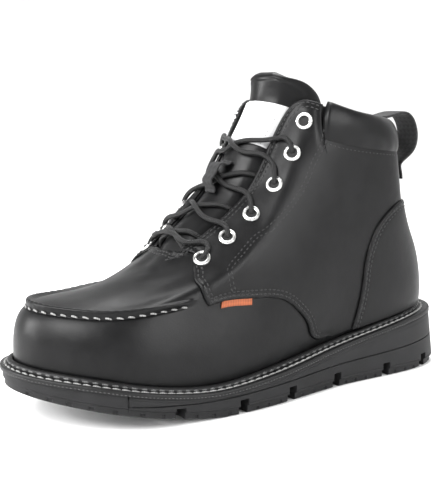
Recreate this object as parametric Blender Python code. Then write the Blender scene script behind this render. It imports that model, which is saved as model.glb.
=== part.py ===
"""Wedge sole work boot, left foot: soles, welt, hollow upper, overlays, tongue, eyelets and lace.

Metres, +Z up. The toe points to -Y and the outer side of the foot to +X. The origin is on the floor
under the middle of the boot. Every form is a function of the station around the last (0 at the
back of the heel, 9 at the tip of the toe, 18 at the heel again by the inner side) and of the level
up its wall (0 at the feather line where upper meets sole, 5 at the collar and throat).
"""
import math

import bmesh
import bpy
import numpy as np
from mathutils import Matrix

MM = 0.001

# Sole
LENGTH = 306 * MM
BALL_WIDTH = 111 * MM
WEDGE_HEIGHT = 39.5 * MM
TOE_SPRING = 20.4 * MM
SPRING_START = 0.64
SPRING_POWER = 1.17
HEEL_RAKE = 4.5 * MM
PANEL_STEP = 0.8 * MM
TREAD_LINE = 4.6 * MM
TREAD_STEP = 0.9 * MM
LUG_ROWS = (
    # place, share of LENGTH from the heel; height at the side, share of the outsole's side there
    (0.085, 0.45),
    (0.206, 0.53),
    (0.345, 0.60),
    (0.475, 0.68),
    (0.598, 0.72),
    (0.735, 0.72),
)
LUG_GAP = 5.5 * MM
LUG_SIDE_DEPTH = 11 * MM
TREAD_DEPTH = 3.2 * MM
# How far a cutter reaches past what it cuts
CUT_PAST = 5 * MM
WELT_THICKNESS = 3.0 * MM
WELT_OVERHANG = 0.7 * MM
BEAD_HEIGHT = 3.4 * MM
BEAD_WIDTH = 3.2 * MM
INSOLE_THICKNESS = 4.0 * MM

# Upper
UPPER_HEIGHT = 155 * MM
WALL = 2.0 * MM
QUARTER_THICKNESS = 1.3 * MM
COUNTER_THICKNESS = 1.3 * MM
COLLAR_PUFF = 4.2 * MM
COLLAR_RISE = 2.4 * MM
LIP_HEIGHT = 3.4 * MM
LIP_WIDTH = 1.9 * MM
LIP_SETBACK = 2.2 * MM

# Tongue and what is on it
TONGUE_RISE = 22 * MM
TONGUE_LEAN = 2 * MM
TONGUE_WIDTH = 60 * MM
TONGUE_THICKNESS = 5.5 * MM
TONGUE_CROWN = 8.5 * MM
TONGUE_NOSE = 14 * MM
LABEL_WIDTH = 32.5 * MM
LABEL_STATIONS = (3.86, 4.56)
PATCH_THICKNESS = 0.9 * MM
KEEPER_WIDTH = 11 * MM
KEEPER_LENGTH = 24 * MM
KEEPER_THICKNESS = 1.4 * MM
KEEPER_ROOM = 2.8 * MM
# The keeper's arch: share of its half length down from its middle, share of its height
KEEPER_PATH = ((1.0, 0.0), (0.84, 0.10), (0.62, 0.96), (0.0, 1.12), (-0.62, 0.96), (-0.84, 0.10), (-1.0, 0.0))

# Woven tag under the outer quarter's lower edge
TAG_HEIGHT = 4 * MM
TAG_STATIONS = (4.72, 5.42)

# Lacing
EYELET_RADIUS = 5.6 * MM
EYELET_HOLE = 3.1 * MM
EYELET_HEIGHT = 1.2 * MM
EYELET_SEAT = 0.88 * MM
LACE_RADIUS = 1.9 * MM
LACE_SLACK = 0.65 * MM
LACE_SLANT = 0.12
LACE_LEAVES = 0.08
LACE_ENTERS = 0.38
LACE_SHARES = (0.0, 0.4, 0.75, 1.0)
THROAT_SHARE = 0.120
# Lift over the tongue's steep sides, as a multiple of the lift over its crown
STEEP = 1.45

# Pull loop
LOOP_WIDTH = 20 * MM
LOOP_THICKNESS = 2.2 * MM
LOOP_REACH = 27 * MM
LOOP_LAP = 4 * MM
LOOP_CLEAR = 0.9 * MM
# Stations from the heel's back to the loop's edge
LOOP_SPREAD = 0.56

# Clearance between neighbours, and the wider one between curved skins laid over each other
GAP = 0.3 * MM
SKIN_GAP = 0.55 * MM

# Where the last's own middle stands, so that the box around the whole boot is centred on the origin
MIDDLE_X = -0.63 * MM
MIDDLE_Y = 1.06 * MM

STATIONS = 9
LEVELS = 5
PANEL_STATION = 7

# One row a station, from the back of the heel to the tip of the toe.
# place: share of LENGTH from the heel. outer, inner: half widths at the floor, shares of BALL_WIDTH.
# top, parting: heights of the welt's edge and of the line between the two sole layers, shares of
# WEDGE_HEIGHT. feather: how far the upper stands in from the sole's edge, share of BALL_WIDTH.
SOLE_ROWS = (
    # place  outer   inner  top    parting feather
    (0.000, 0.000, 0.000, 1.000, 0.520, 0.144),
    (0.050, 0.248, 0.257, 0.975, 0.500, 0.131),
    (0.170, 0.341, 0.341, 0.873, 0.430, 0.104),
    (0.360, 0.383, 0.333, 0.653, 0.362, 0.088),
    (0.480, 0.455, 0.365, 0.527, 0.324, 0.086),
    (0.580, 0.498, 0.423, 0.453, 0.299, 0.084),
    (0.690, 0.509, 0.491, 0.441, 0.292, 0.079),
    (0.830, 0.484, 0.467, 0.620, 0.390, 0.072),
    (0.930, 0.329, 0.356, 0.754, 0.480, 0.068),
    (1.000, -0.018, 0.018, 0.830, 0.560, 0.068),
)

# The two lowest levels above the feather line follow the sole's outline, inward from its edge.
# swell_in, swell_up: the widest part of the side wall. seam_out, seam_in: the level of the moc seam
# on the outer and the inner side. Insets are shares of BALL_WIDTH, heights of UPPER_HEIGHT.
WALL_ROWS = (
    # swell_in swell_up seam_out seam_in seam_up
    (0.150, 0.106, 0.190, 0.190, 0.268),
    (0.117, 0.110, 0.153, 0.153, 0.268),
    (0.072, 0.126, 0.077, 0.077, 0.287),
    (0.052, 0.143, 0.040, 0.022, 0.324),
    (0.064, 0.143, 0.077, 0.032, 0.330),
    (0.067, 0.136, 0.111, 0.068, 0.323),
    (0.066, 0.126, 0.117, 0.117, 0.310),
    (0.063, 0.113, 0.131, 0.131, 0.245),
    (0.063, 0.101, 0.135, 0.135, 0.217),
    (0.068, 0.092, 0.140, 0.140, 0.208),
)

# The three upper levels are rings of their own: back (+) or forward (-) of the middle as a share of
# LENGTH, half width as a share of BALL_WIDTH, height above the sole as a share of UPPER_HEIGHT, and
# twist, by which the ring lies further forward on the foot's inner side than on its outer one.
RING_ROWS = (
    # ankle and apron             collar seam, eyelets          collar, throat
    ((0.404, 0.000, 0.423, 0.00), (0.382, 0.000, 0.684, 0.00), (0.361, 0.000, 0.797, 0.00)),
    ((0.371, 0.180, 0.435, 0.00), (0.350, 0.180, 0.694, 0.00), (0.332, 0.162, 0.810, 0.00)),
    ((0.307, 0.279, 0.481, 0.00), (0.281, 0.299, 0.735, 0.00), (0.248, 0.288, 0.858, 0.00)),
    ((0.150, 0.332, 0.563, 0.00), (0.126, 0.302, 0.846, 0.06), (0.135, 0.275, 0.966, 0.12)),
    ((0.054, 0.327, 0.646, 0.10), (0.072, 0.248, 0.917, 0.25), (0.068, 0.167, 0.995, 0.25)),
    ((-0.039, 0.347, 0.517, 0.10), (0.009, 0.243, 0.730, 0.25), (-0.001, 0.158, 0.781, 0.25)),
    ((-0.118, 0.356, 0.426, 0.10), (-0.069, 0.252, 0.585, 0.25), (-0.073, 0.153, 0.612, 0.25)),
    ((-0.250, 0.288, 0.294, 0.03), (-0.139, 0.261, 0.423, 0.08), (-0.163, 0.158, 0.441, 0.00)),
    ((-0.320, 0.171, 0.255, 0.00), (-0.229, 0.131, 0.321, 0.00), (-0.175, 0.081, 0.403, 0.00)),
    ((-0.359, 0.000, 0.240, 0.00), (-0.239, 0.000, 0.300, 0.00), (-0.179, 0.000, 0.383, 0.00)),
)

# Columns of the faceted forms between one station and the next, closer around heel and toe
COLUMNS = (3, 2, 3, 4, 3, 3, 3, 3, 3)
# Rows of the upper below, across and above the moc seam. The middle ones are distances from it.
ROWS_BELOW = (0.0, 0.3, 0.65, 1.0, 1.45)
ROWS_ACROSS = (-4.5 * MM, -0.6 * MM, 1.4 * MM, 3.2 * MM, 6.0 * MM)
ROWS_ABOVE = (2.75, 3.25, 3.75, 4.2, 4.6, 5.0)
# The moc seam's lip runs from this station around the toe to the same one on the inner side
LIP_START = 5.92
LIP_RAMP = 0.35

# Overlays are laid out in rungs, each from (station, level) at its foot to (station, level) at its top
QUARTER_RUNGS = (
    # foot         top
    (0.02, 0.40, 0.02, 3.92),
    (1.00, 0.43, 1.00, 3.92),
    (2.00, 0.43, 2.00, 3.92),
    (3.00, 0.43, 3.05, 3.88),
    (3.14, 0.43, 3.15, 4.96),
    (3.25, 0.47, 3.25, 4.97),
    (3.50, 1.15, 3.50, 4.97),
    (3.75, 1.54, 3.75, 4.97),
    (4.00, 1.72, 4.00, 4.97),
    (4.67, 1.86, 4.67, 4.97),
    (5.33, 1.92, 5.33, 4.97),
    (5.67, 1.88, 5.67, 4.97),
    (5.90, 2.25, 6.33, 4.97),
    (6.20, 2.66, 6.67, 4.97),
    (6.50, 3.07, 6.86, 4.97),
    (7.10, 3.90, 7.04, 4.97),
)
QUARTER_STEPS = (3, 2, 3, 3, 1, 1, 1, 1, 2, 2, 1, 2, 1, 1, 2)
QUARTER_ROWS = 8
COUNTER_RUNGS = (
    (0.00, 0.38, 0.00, 3.16),
    (1.00, 0.41, 1.00, 3.14),
    (1.50, 0.41, 1.50, 3.10),
    (2.00, 0.41, 2.00, 2.95),
    (2.33, 0.42, 2.25, 2.70),
    (2.50, 0.42, 2.40, 2.35),
    (2.66, 0.42, 2.47, 1.80),
)
COUNTER_STEPS = (3, 1, 1, 1, 1, 1)
COUNTER_ROWS = 5
COLLAR_END = 2.97

# Eyelets from the bottom one up: station and level on the outer side, mirrored on the inner side
EYELETS = (
    (7.00, 3.87),
    (6.50, 4.03),
    (5.73, 3.93),
    (5.00, 3.90),
    (4.43, 3.83),
    (3.80, 4.07),
)

# Tongue: station along the throat, crown height and half width as shares of TONGUE_CROWN and of
# TONGUE_WIDTH, and how steeply its sides fall away
TONGUE_ROWS = (
    # station crown  half   fall
    (3.00, 0.55, 0.08, 0.90),
    (3.06, 0.70, 0.15, 0.95),
    (3.20, 0.85, 0.24, 1.00),
    (3.45, 0.95, 0.33, 1.10),
    (3.70, 1.00, 0.35, 1.20),
    (4.00, 1.00, 0.35, 1.38),
    (5.00, 1.00, 0.39, 1.38),
    (6.00, 0.95, 0.42, 1.38),
    (6.60, 0.60, 0.40, 1.30),
    (7.00, 0.05, 0.36, 1.10),
    (7.50, -0.55, 0.30, 0.90),
    (8.00, -0.75, 0.26, 0.80),
)

# Lace strands, bottom to top: from one side's eyelet over its facing, across the tongue, to the
# other side's next eyelet. Each end is on a facing (True) or dives under it at its edge (False).
# lowered: stations by which the strands cross nearer to the lower eyelets.
CROSSINGS = (
    # lower upper starts_on ends_on lowered
    (0, 1, False, False, 0.00),
    (1, 2, True, False, 0.00),
    (2, 3, True, False, 0.00),
    (3, 4, True, True, 0.09),
)

# name: colour, roughness, metallic
MATERIALS = {
    "rubber": ((0.016, 0.016, 0.017), 0.62, 0.0),
    "wedge rubber": ((0.020, 0.020, 0.021), 0.66, 0.0),
    "welt": ((0.022, 0.022, 0.023), 0.55, 0.0),
    "board": ((0.060, 0.058, 0.055), 0.90, 0.0),
    "leather": ((0.010, 0.010, 0.011), 0.42, 0.0),
    "overlay leather": ((0.011, 0.011, 0.012), 0.42, 0.0),
    "padded leather": ((0.012, 0.012, 0.013), 0.45, 0.0),
    "webbing": ((0.014, 0.014, 0.015), 0.85, 0.0),
    "lace": ((0.010, 0.010, 0.011), 0.70, 0.0),
    "nickel": ((0.620, 0.620, 0.610), 0.25, 1.0),
    "white patch": ((0.780, 0.780, 0.770), 0.70, 0.0),
    "orange patch": ((0.620, 0.180, 0.050), 0.70, 0.0),
}


def spline(knots, values, at, period=None):
    """Cubic spline through values at rising knots: natural ends, or closed over the period."""
    knots = np.asarray(knots, float)
    values = np.asarray(values, float)
    at = np.asarray(at, float)
    if period is None:
        step = np.diff(knots)
    else:
        at = (at - knots[0]) % period + knots[0]
        step = np.diff(np.append(knots, knots[0] + period))
        values = np.concatenate([values, values[:1]])
    count = len(knots) if period is not None else len(knots) - 2
    shape = (count, count)
    matrix = np.zeros(shape)
    right = np.zeros((count,) + values.shape[1:])
    slope = np.diff(values, axis=0) / step.reshape((-1,) + (1,) * (values.ndim - 1))
    for row in range(count):
        left_step = step[row - 1] if period is not None else step[row]
        right_step = step[row] if period is not None else step[row + 1]
        matrix[row, row] += 2 * (left_step + right_step)
        if period is not None:
            matrix[row, (row - 1) % count] += left_step
            matrix[row, (row + 1) % count] += right_step
            right[row] = 6 * (slope[row] - slope[row - 1])
        else:
            if row > 0:
                matrix[row, row - 1] += left_step
            if row < count - 1:
                matrix[row, row + 1] += right_step
            right[row] = 6 * (slope[row + 1] - slope[row])
    bend = np.linalg.solve(matrix, right)
    if period is not None:
        bend = np.concatenate([bend, bend[:1]])
    else:
        zero = np.zeros((1,) + values.shape[1:])
        bend = np.concatenate([zero, bend, zero])
    starts = np.append(knots, knots[0] + period) if period is not None else knots
    span = np.clip(np.searchsorted(starts, at, side="right") - 1, 0, len(step) - 1)
    width = step[span]
    wide = width.reshape(width.shape + (1,) * (values.ndim - 1))
    share = ((at - starts[span]) / width).reshape(wide.shape)
    rest = 1 - share
    bent = (rest ** 3 - rest) * bend[span] + (share ** 3 - share) * bend[span + 1]
    return rest * values[span] + share * values[span + 1] + bent * wide ** 2 / 6


def around(column, station, inner=None):
    """A column of station values read at any station around the last, its two sides mirrored."""
    other = column if inner is None else inner
    values = list(column) + list(other[STATIONS - 1:0:-1])
    return spline(range(2 * STATIONS), values, station, 2 * STATIONS)


SOLE = np.array(SOLE_ROWS)
SIDE = np.array(WALL_ROWS)
RINGS = np.array(RING_ROWS)
ANGLES = np.arccos(1 - 2 * SOLE[:, 0])


def angle(station):
    """Angle around the outline: 0 at the heel, pi at the toe, on to two pi by the inner side."""
    station = np.asarray(station, float) % (2 * STATIONS)
    knots = np.arange(2 * STATIONS + 1)
    turned = np.concatenate([ANGLES, 2 * math.pi - ANGLES[-2::-1]])
    lap = np.concatenate([turned[-4:-1] - 2 * math.pi, turned, turned[1:4] + 2 * math.pi])
    return spline(np.arange(-3, len(knots) + 3), lap, station)


def edge(theta):
    """The sole's edge at the floor, as points x, y."""
    outer = SOLE[:, 1]
    inner = -SOLE[:, 2]
    knots = np.concatenate([ANGLES, 2 * math.pi - ANGLES[-2:0:-1]])
    widths = np.concatenate([outer, inner[-2:0:-1]])
    across = spline(knots, widths, theta, 2 * math.pi) * BALL_WIDTH
    return np.stack([across + MIDDLE_X, np.cos(theta) * LENGTH / 2 + MIDDLE_Y], -1)


def outline(station, inset):
    """The sole's edge moved inward by an inset, as points x, y."""
    theta = angle(station)
    small = 0.001
    run = edge(theta + small) - edge(theta - small)
    run = run / np.linalg.norm(run, axis=-1, keepdims=True)
    inward = np.stack([run[..., 1], -run[..., 0]], -1)
    return edge(theta) + inward * np.asarray(inset)[..., None]


def rake(station):
    """How far the sole's side leans in from the floor to the welt, mostly at the heel's back."""
    return HEEL_RAKE * ((1 + np.cos(angle(station))) / 2) ** 6


def sole_top(station):
    return around(SOLE[:, 3], station) * WEDGE_HEIGHT


def parting(station):
    return around(SOLE[:, 4], station) * WEDGE_HEIGHT


def sole_bottom(station):
    """The tread's lowest surface: flat from the heel to the ball, then rising to the toe."""
    place = (1 - np.cos(angle(station))) / 2
    rise = np.clip((place - SPRING_START) / (1 - SPRING_START), 0, 1)
    return TOE_SPRING * rise ** SPRING_POWER


def levels(station):
    """The upper's six level points at each station: an array of levels by stations by x, y, z."""
    station = np.asarray(station, float)
    base = sole_top(station)
    feather = around(SOLE[:, 5], station) * BALL_WIDTH
    swell = around(SIDE[:, 0], station) * BALL_WIDTH
    seam = around(SIDE[:, 2], station, SIDE[:, 3]) * BALL_WIDTH
    heights = (
        base - WELT_THICKNESS + GAP,
        base + around(SIDE[:, 1], station) * UPPER_HEIGHT,
        base + around(SIDE[:, 4], station) * UPPER_HEIGHT,
    )
    points = []
    for inset, height in zip((feather, swell, seam), heights):
        points.append(np.concatenate([outline(station, inset), height[..., None]], -1))
    for ring in range(RINGS.shape[1]):
        along = around(RINGS[:, ring, 0], station) * LENGTH
        across = around(RINGS[:, ring, 1], station, -RINGS[:, ring, 1]) * BALL_WIDTH
        along = along + around(RINGS[:, ring, 3], station) * across
        height = base + around(RINGS[:, ring, 2], station) * UPPER_HEIGHT
        points.append(np.stack([across + MIDDLE_X, along + MIDDLE_Y, height], -1))
    return np.array(points)


def bare(station, level):
    """A point of the last's skin at a station and a level, without the moc seam's lip."""
    station, level = np.broadcast_arrays(np.asarray(station, float), np.asarray(level, float))
    points = levels(station.ravel())
    count = points.shape[1]
    knots = np.arange(LEVELS + 1)
    where = np.clip(level.ravel(), 0, LEVELS)
    weights = spline(knots, np.eye(LEVELS + 1), where)
    skin = np.einsum("nk,knd->nd", weights, points)
    small = 0.001
    near = spline(knots, np.eye(LEVELS + 1), np.full(count, LEVELS - small))
    tip = (points[LEVELS] - np.einsum("nk,knd->nd", near, points)) / small
    skin = skin + tip * np.clip(level.ravel() - LEVELS, 0, None)[:, None]
    return skin.reshape(station.shape + (3,))


def rise_per_level(station, level):
    """Length of skin per level, at a station and a level."""
    small = 0.01
    return np.linalg.norm(bare(station, level + small) - bare(station, level - small), axis=-1) / (2 * small)


def normal(station, level):
    """The outward normal of the last's skin."""
    small = 0.01
    level = np.clip(np.asarray(level, float), small, LEVELS - small)
    turn = bare(np.asarray(station) + small, level) - bare(np.asarray(station) - small, level)
    climb = bare(station, level + small) - bare(station, level - small)
    out = np.cross(climb, turn)
    return out / np.linalg.norm(out, axis=-1, keepdims=True)


def skin(station, level, lift):
    """The last's skin lifted outward, with the moc seam's lip on its outer faces."""
    return bare(station, level) + normal(station, level) * np.asarray(lift)[..., None]


def lip(station, distance):
    """Height of the moc seam's lip at a distance up from the seam."""
    from_toe = np.abs(np.asarray(station) - STATIONS)
    share = np.clip((STATIONS - LIP_START - from_toe) / LIP_RAMP, 0, 1)
    fade = share * share * (3 - 2 * share)
    return LIP_HEIGHT * fade * np.exp(-((distance - LIP_SETBACK) / LIP_WIDTH) ** 2)


def column_stations():
    """Stations of the faceted columns, once around the last."""
    outer = [0.0]
    for start, count in enumerate(COLUMNS):
        outer += [start + (step + 1) / count for step in range(count)]
    inner = [2 * STATIONS - place for place in outer[-2:0:-1]]
    return np.array(outer + inner)


RING = column_stations()
HALF = len(RING) // 2
PANEL = int(np.argmin(np.abs(RING[:HALF] - PANEL_STATION)))


def material(name):
    made = bpy.data.materials.get(name)
    if made is None:
        colour, roughness, metallic = MATERIALS[name]
        made = bpy.data.materials.new(name)
        made.use_nodes = True
        shader = made.node_tree.nodes["Principled BSDF"]
        shader.inputs["Base Color"].default_value = (*colour, 1)
        shader.inputs["Roughness"].default_value = roughness
        shader.inputs["Metallic"].default_value = metallic
        made.diffuse_color = (*colour, 1)
    return made


def place_mesh(name, points, faces, look, smooth=35):
    """An object from points and faces, its twin points joined and its faces turned outward."""
    mesh = bpy.data.meshes.new(name)
    mesh.from_pydata([tuple(point) for point in points], [], faces)
    shape = bmesh.new()
    shape.from_mesh(mesh)
    bmesh.ops.remove_doubles(shape, verts=shape.verts, dist=1e-6)
    bmesh.ops.recalc_face_normals(shape, faces=shape.faces)
    bmesh.ops.triangulate(shape, faces=shape.faces, quad_method="BEAUTY")
    shape.to_mesh(mesh)
    shape.free()
    mesh.materials.append(material(look))
    mesh.shade_smooth()
    mesh.set_sharp_from_angle(angle=math.radians(smooth))
    thing = bpy.data.objects.new(name, mesh)
    bpy.context.scene.collection.objects.link(thing)
    return thing


def quads(rows, columns, start=0, closed=False):
    """Faces of a grid of points stored row by row."""
    faces = []
    for row in range(rows - 1):
        for column in range(columns if closed else columns - 1):
            here = start + row * columns + column
            beside = start + row * columns + (column + 1) % columns
            faces.append((here, beside, beside + columns, here + columns))
    return faces


def shell(name, front, back, look, closed=False):
    """A wall between two grids of points, rows by columns, with rims around it."""
    rows, columns = front.shape[:2]
    count = rows * columns
    points = np.concatenate([front.reshape(-1, 3), back.reshape(-1, 3)])
    faces = quads(rows, columns, 0, closed)
    faces += [face[::-1] for face in quads(rows, columns, count, closed)]
    rim = []
    for column in range(columns if closed else columns - 1):
        beside = (column + 1) % columns
        rim.append((column, beside))
        rim.append(((rows - 1) * columns + column, (rows - 1) * columns + beside))
    if not closed:
        for row in range(rows - 1):
            rim.append((row * columns, (row + 1) * columns))
            rim.append((row * columns + columns - 1, (row + 1) * columns + columns - 1))
    for here, beside in rim:
        faces.append((here, beside, beside + count, here + count))
    return place_mesh(name, points, faces, look)


def layer(name, sections, look):
    """A solid across the whole sole. Each section runs from its outer side's foot to the inner's."""
    sections = np.array(sections)
    slices, corners = sections.shape[:2]
    faces = quads(slices, corners, 0, True)
    last = (slices - 1) * corners
    faces.append(tuple(range(corners)))
    faces.append(tuple(last + corner for corner in range(corners))[::-1])
    return place_mesh(name, sections.reshape(-1, 3), faces, look)


def section(column, rows):
    """One slice across the sole: rows of inset and height, up the outer side and down the inner."""
    outer = RING[column]
    inner = RING[-column % len(RING)]
    points = []
    for inset, height in rows:
        across, along = outline(outer, inset)
        points.append((across, along, height))
    for inset, height in reversed(rows):
        across, along = outline(inner, inset)
        points.append((across, along, height))
    return points


def side_inset(station, height):
    """The inset of the raked side at a height."""
    top = sole_top(station)
    return rake(station) * height / top


def cut(thing, cutter):
    """Take a cutter out of an object."""
    cutter.hide_render = True
    cutter.display_type = "WIRE"
    boolean = thing.modifiers.new("cut", "BOOLEAN")
    boolean.operation = "DIFFERENCE"
    boolean.solver = "EXACT"
    boolean.object = cutter


def station_at(share):
    """The station on the outer side where the sole is a share of its length from the heel."""
    stations = np.linspace(0, STATIONS, 400)
    places = (1 - np.cos(angle(stations))) / 2
    return float(np.interp(share, places, stations))


def lug_cutter(index, share, side_share):
    """A bar across the tread: shallow under the middle and tall where it opens on either side."""
    station = station_at(share)
    ground = float(sole_bottom(station))
    outer = float(outline(station, 0.0)[0])
    inner = float(outline(2 * STATIONS - station, 0.0)[0])
    past = CUT_PAST
    low = ground - past
    groove = ground + TREAD_DEPTH
    side = ground + side_share * (float(parting(station)) - ground)
    profile = (
        (outer + past, low), (outer + past, side), (outer - LUG_SIDE_DEPTH, side),
        (outer - LUG_SIDE_DEPTH - past, groove), (inner + LUG_SIDE_DEPTH + past, groove),
        (inner + LUG_SIDE_DEPTH, side), (inner - past, side), (inner - past, low),
    )
    middle = (0.5 - share) * LENGTH + MIDDLE_Y
    bars = []
    for along in (middle - LUG_GAP / 2, middle + LUG_GAP / 2):
        bars.append([(across, along, height) for across, height in profile])
    return layer(f"lug_cutter_{index}", bars, "rubber")


def make_outsole():
    """The tread layer under the parting line, with the toe bumper rising to the welt."""
    slices = []
    for column in range(HALF + 1):
        station = RING[column]
        ground = float(sole_bottom(station))
        low = ground + TREAD_LINE
        ledge = low + TREAD_STEP
        step = PANEL_STEP
        tops = []
        if column <= PANEL:
            tops.append(float(parting(station)))
        if column >= PANEL:
            tops.append(float(sole_top(station)) - WELT_THICKNESS - GAP)
        for top in tops:
            rows = [
                (step + TREAD_STEP, ground),
                (step + TREAD_STEP + side_inset(station, low), low),
                (step + side_inset(station, ledge), ledge),
                (step + side_inset(station, top), top),
            ]
            slices.append(section(column, rows))
    outsole = layer("outsole", slices, "rubber")
    for index, (share, side_share) in enumerate(LUG_ROWS):
        cut(outsole, lug_cutter(index, share, side_share))


def make_midsole():
    """The wedge above the parting line, behind the toe bumper, its side a little proud."""
    slices = []
    for column in range(PANEL + 1):
        station = RING[column]
        low = float(parting(station)) + GAP
        top = float(sole_top(station)) - WELT_THICKNESS - GAP
        rows = [(side_inset(station, low), low), (side_inset(station, top), top)]
        slices.append(section(column, rows))
    slices = np.array(slices)
    slices[-1, :, 1] += GAP
    layer("midsole", slices, "wedge rubber")


def make_welt():
    """The stitched rim on the sole's edge, with a bead against the upper."""
    top = sole_top(RING)
    lean = rake(RING)
    foot = top - WELT_THICKNESS
    wall = levels(RING)
    bead_level = (WELT_THICKNESS - GAP + BEAD_HEIGHT) / (wall[1] - wall[0])[:, 2]
    outside = (
        (lean - WELT_OVERHANG, foot),
        (lean - WELT_OVERHANG, top - WELT_THICKNESS * 0.25),
        (lean, top),
    )
    inside = (
        # level as a share of the bead's, lift as a share of its width
        (0.60, 1.00), (1.00, 0.50), (0.85, 0.00), (0.00, 0.00),
    )
    rings = [np.concatenate([outline(RING, inset), height[:, None]], -1) for inset, height in outside]
    for level, lift in inside:
        rings.append(skin(RING, bead_level * level, np.full(len(RING), SKIN_GAP + lift * BEAD_WIDTH)))
    rings[-1][:, 2] = foot
    rings.append(rings[0])
    faces = quads(len(rings), len(RING), 0, True)
    place_mesh("welt", np.array(rings).reshape(-1, 3), faces, "welt")


def make_insole():
    """The board inside the upper, flat across and following the wedge."""
    slices = []
    for column in range(HALF + 1):
        station = RING[column]
        inset = float(around(SOLE[:, 5], station)) * BALL_WIDTH + WALL + 2 * GAP
        low = float(sole_top(station)) - WELT_THICKNESS + GAP
        slices.append(section(column, [(inset, low), (inset, low + INSOLE_THICKNESS)]))
    layer("insole", slices, "board")


def make_upper():
    """Vamp and lining as one hollow wall, open underneath and at collar and throat."""
    outer = []
    hidden = []
    per_level = rise_per_level(RING, 2.0)
    rows = [(np.full(len(RING), level), None) for level in ROWS_BELOW]
    rows += [(2.0 + distance / per_level, distance) for distance in ROWS_ACROSS]
    rows += [(np.full(len(RING), level), None) for level in ROWS_ABOVE]
    for level, distance in rows:
        raised = 0 * level if distance is None else lip(RING, distance)
        outer.append(skin(RING, level, raised))
        hidden.append(skin(RING, level, np.full(len(RING), -WALL)))
    shell("upper", np.array(outer), np.array(hidden), "leather", closed=True)


def rungs(table, steps, rows):
    """Stations and levels of a grid laid out by rungs, as two arrays of rows by columns."""
    table = np.array(table)
    places = [0.0]
    for start, count in enumerate(steps):
        places += [start + (step + 1) / count for step in range(count)]
    knots = np.arange(len(table))
    ends = np.array([np.interp(places, knots, table[:, column]) for column in range(4)])
    share = np.linspace(0, 1, rows + 1)[:, None]
    return ends[0] + (ends[2] - ends[0]) * share, ends[1] + (ends[3] - ends[1]) * share


def overlay(name, station, level, low, thickness, look):
    """A leather panel of one thickness, laid over the skin at a height."""
    base = np.full(station.shape, low)
    return shell(name, skin(station, level, base + thickness), skin(station, level, base), look)


def make_quarters():
    """The two side panels that carry the eyelets, meeting at the back of the heel."""
    station, level = rungs(QUARTER_RUNGS, QUARTER_STEPS, QUARTER_ROWS)
    for side, turned in (("outer", station), ("inner", 2 * STATIONS - station)):
        overlay(f"quarter_{side}", turned, level, SKIN_GAP, QUARTER_THICKNESS, "overlay leather")


def make_counter():
    """The heel's outer cup, over both quarters."""
    station, level = rungs(COUNTER_RUNGS, COUNTER_STEPS, COUNTER_ROWS)
    station = np.concatenate([-station[:, :0:-1], station], axis=1)
    level = np.concatenate([level[:, :0:-1], level], axis=1)
    low = 2 * SKIN_GAP + QUARTER_THICKNESS + GAP
    overlay("heel_counter", station, level, low, COUNTER_THICKNESS, "overlay leather")


def make_collar():
    """The padded cuff from one side of the throat around the ankle to the other."""
    places = [place for place in RING if place < COLLAR_END - 0.1]
    places.append(COLLAR_END)
    station = np.array([-place for place in places[:0:-1]] + places)
    rise = COLLAR_RISE / rise_per_level(0.0, LEVELS)
    table = (
        # level, lift as share of the puff
        (4.00, 0.35), (4.15, 0.75), (4.40, 1.00), (4.70, 0.95), (LEVELS, 0.70), (LEVELS + rise, 0.25),
    )
    puffed = []
    under = []
    for level, lift in table:
        levels_here = np.full(len(station), level)
        puffed.append(skin(station, levels_here, np.full(len(station), SKIN_GAP + lift * COLLAR_PUFF)))
        under.append(skin(station, levels_here, np.full(len(station), SKIN_GAP)))
    shell("collar", np.array(puffed), np.array(under), "padded leather")


def throat(station):
    """Middle of the throat at a station: a point, the way up along it, the way out of it, its twist."""
    knots = np.arange(3, 9)
    outer = levels(knots[1:].astype(float))[LEVELS]
    inner = levels(2.0 * STATIONS - knots[1:])[LEVELS]
    ring = (outer + inner) / 2
    ring[-1] = ring[-2] + (ring[-2] - ring[-3]) * 0.55
    top = ring[0] + np.array((0, TONGUE_LEAN, TONGUE_RISE))
    line = np.concatenate([[top], ring])
    turn = (outer - inner)[:, 1] / (outer - inner)[:, 0]
    turn = np.interp(station, knots[1:], turn)
    point = spline(knots, line, station)
    small = 0.02
    up = spline(knots, line, np.asarray(station) - small) - spline(knots, line, np.asarray(station) + small)
    up = up / np.linalg.norm(up, axis=-1, keepdims=True)
    out = np.stack([0 * up[..., 0], -up[..., 2], up[..., 1]], -1)
    return point, up, out, turn


def tongue_row(station):
    """Crown height, half width and fall of the tongue at a station of the throat."""
    table = np.array(TONGUE_ROWS)
    crown, half, fall = (np.interp(station, table[:, 0], table[:, column]) for column in (1, 2, 3))
    return crown * TONGUE_CROWN, half * TONGUE_WIDTH, fall


def tongue_point(station, across, lift):
    """A point of the tongue's front at a distance from its middle, lifted off it."""
    station, across = np.broadcast_arrays(np.asarray(station, float), np.asarray(across, float))
    point, up, out, turn = throat(station)
    crown, half, fall = tongue_row(station)
    depth = crown + TONGUE_NOSE - np.sqrt(TONGUE_NOSE ** 2 + (fall * across) ** 2) + lift
    spread = np.zeros(station.shape + (3,))
    spread[..., 0] = across
    spread[..., 1] = across * turn
    return point + spread + out * depth[..., None]


def make_tongue():
    """The padded tongue behind the lacing, rounded at its top."""
    stations = np.array([3.0, 3.06, 3.2, 3.45, 3.7, 4.0, 4.5, 5.0, 5.5, 6.0, 6.5, 7.0, 7.5, 8.0])
    shares = np.sin(np.linspace(-1, 1, 9) * math.pi / 2)
    half = tongue_row(stations)[1]
    across = half[:, None] * shares
    station = np.repeat(stations[:, None], len(shares), axis=1)
    pad = np.minimum(1, 0.35 + 0.65 * np.minimum((station - 3) / 0.2, 1)) * (1 - 0.6 * shares ** 4)
    front = tongue_point(station, across, 0.0)
    back = tongue_point(station, across * 0.97, -TONGUE_THICKNESS * pad)
    shell("tongue", front, back, "padded leather")


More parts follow.
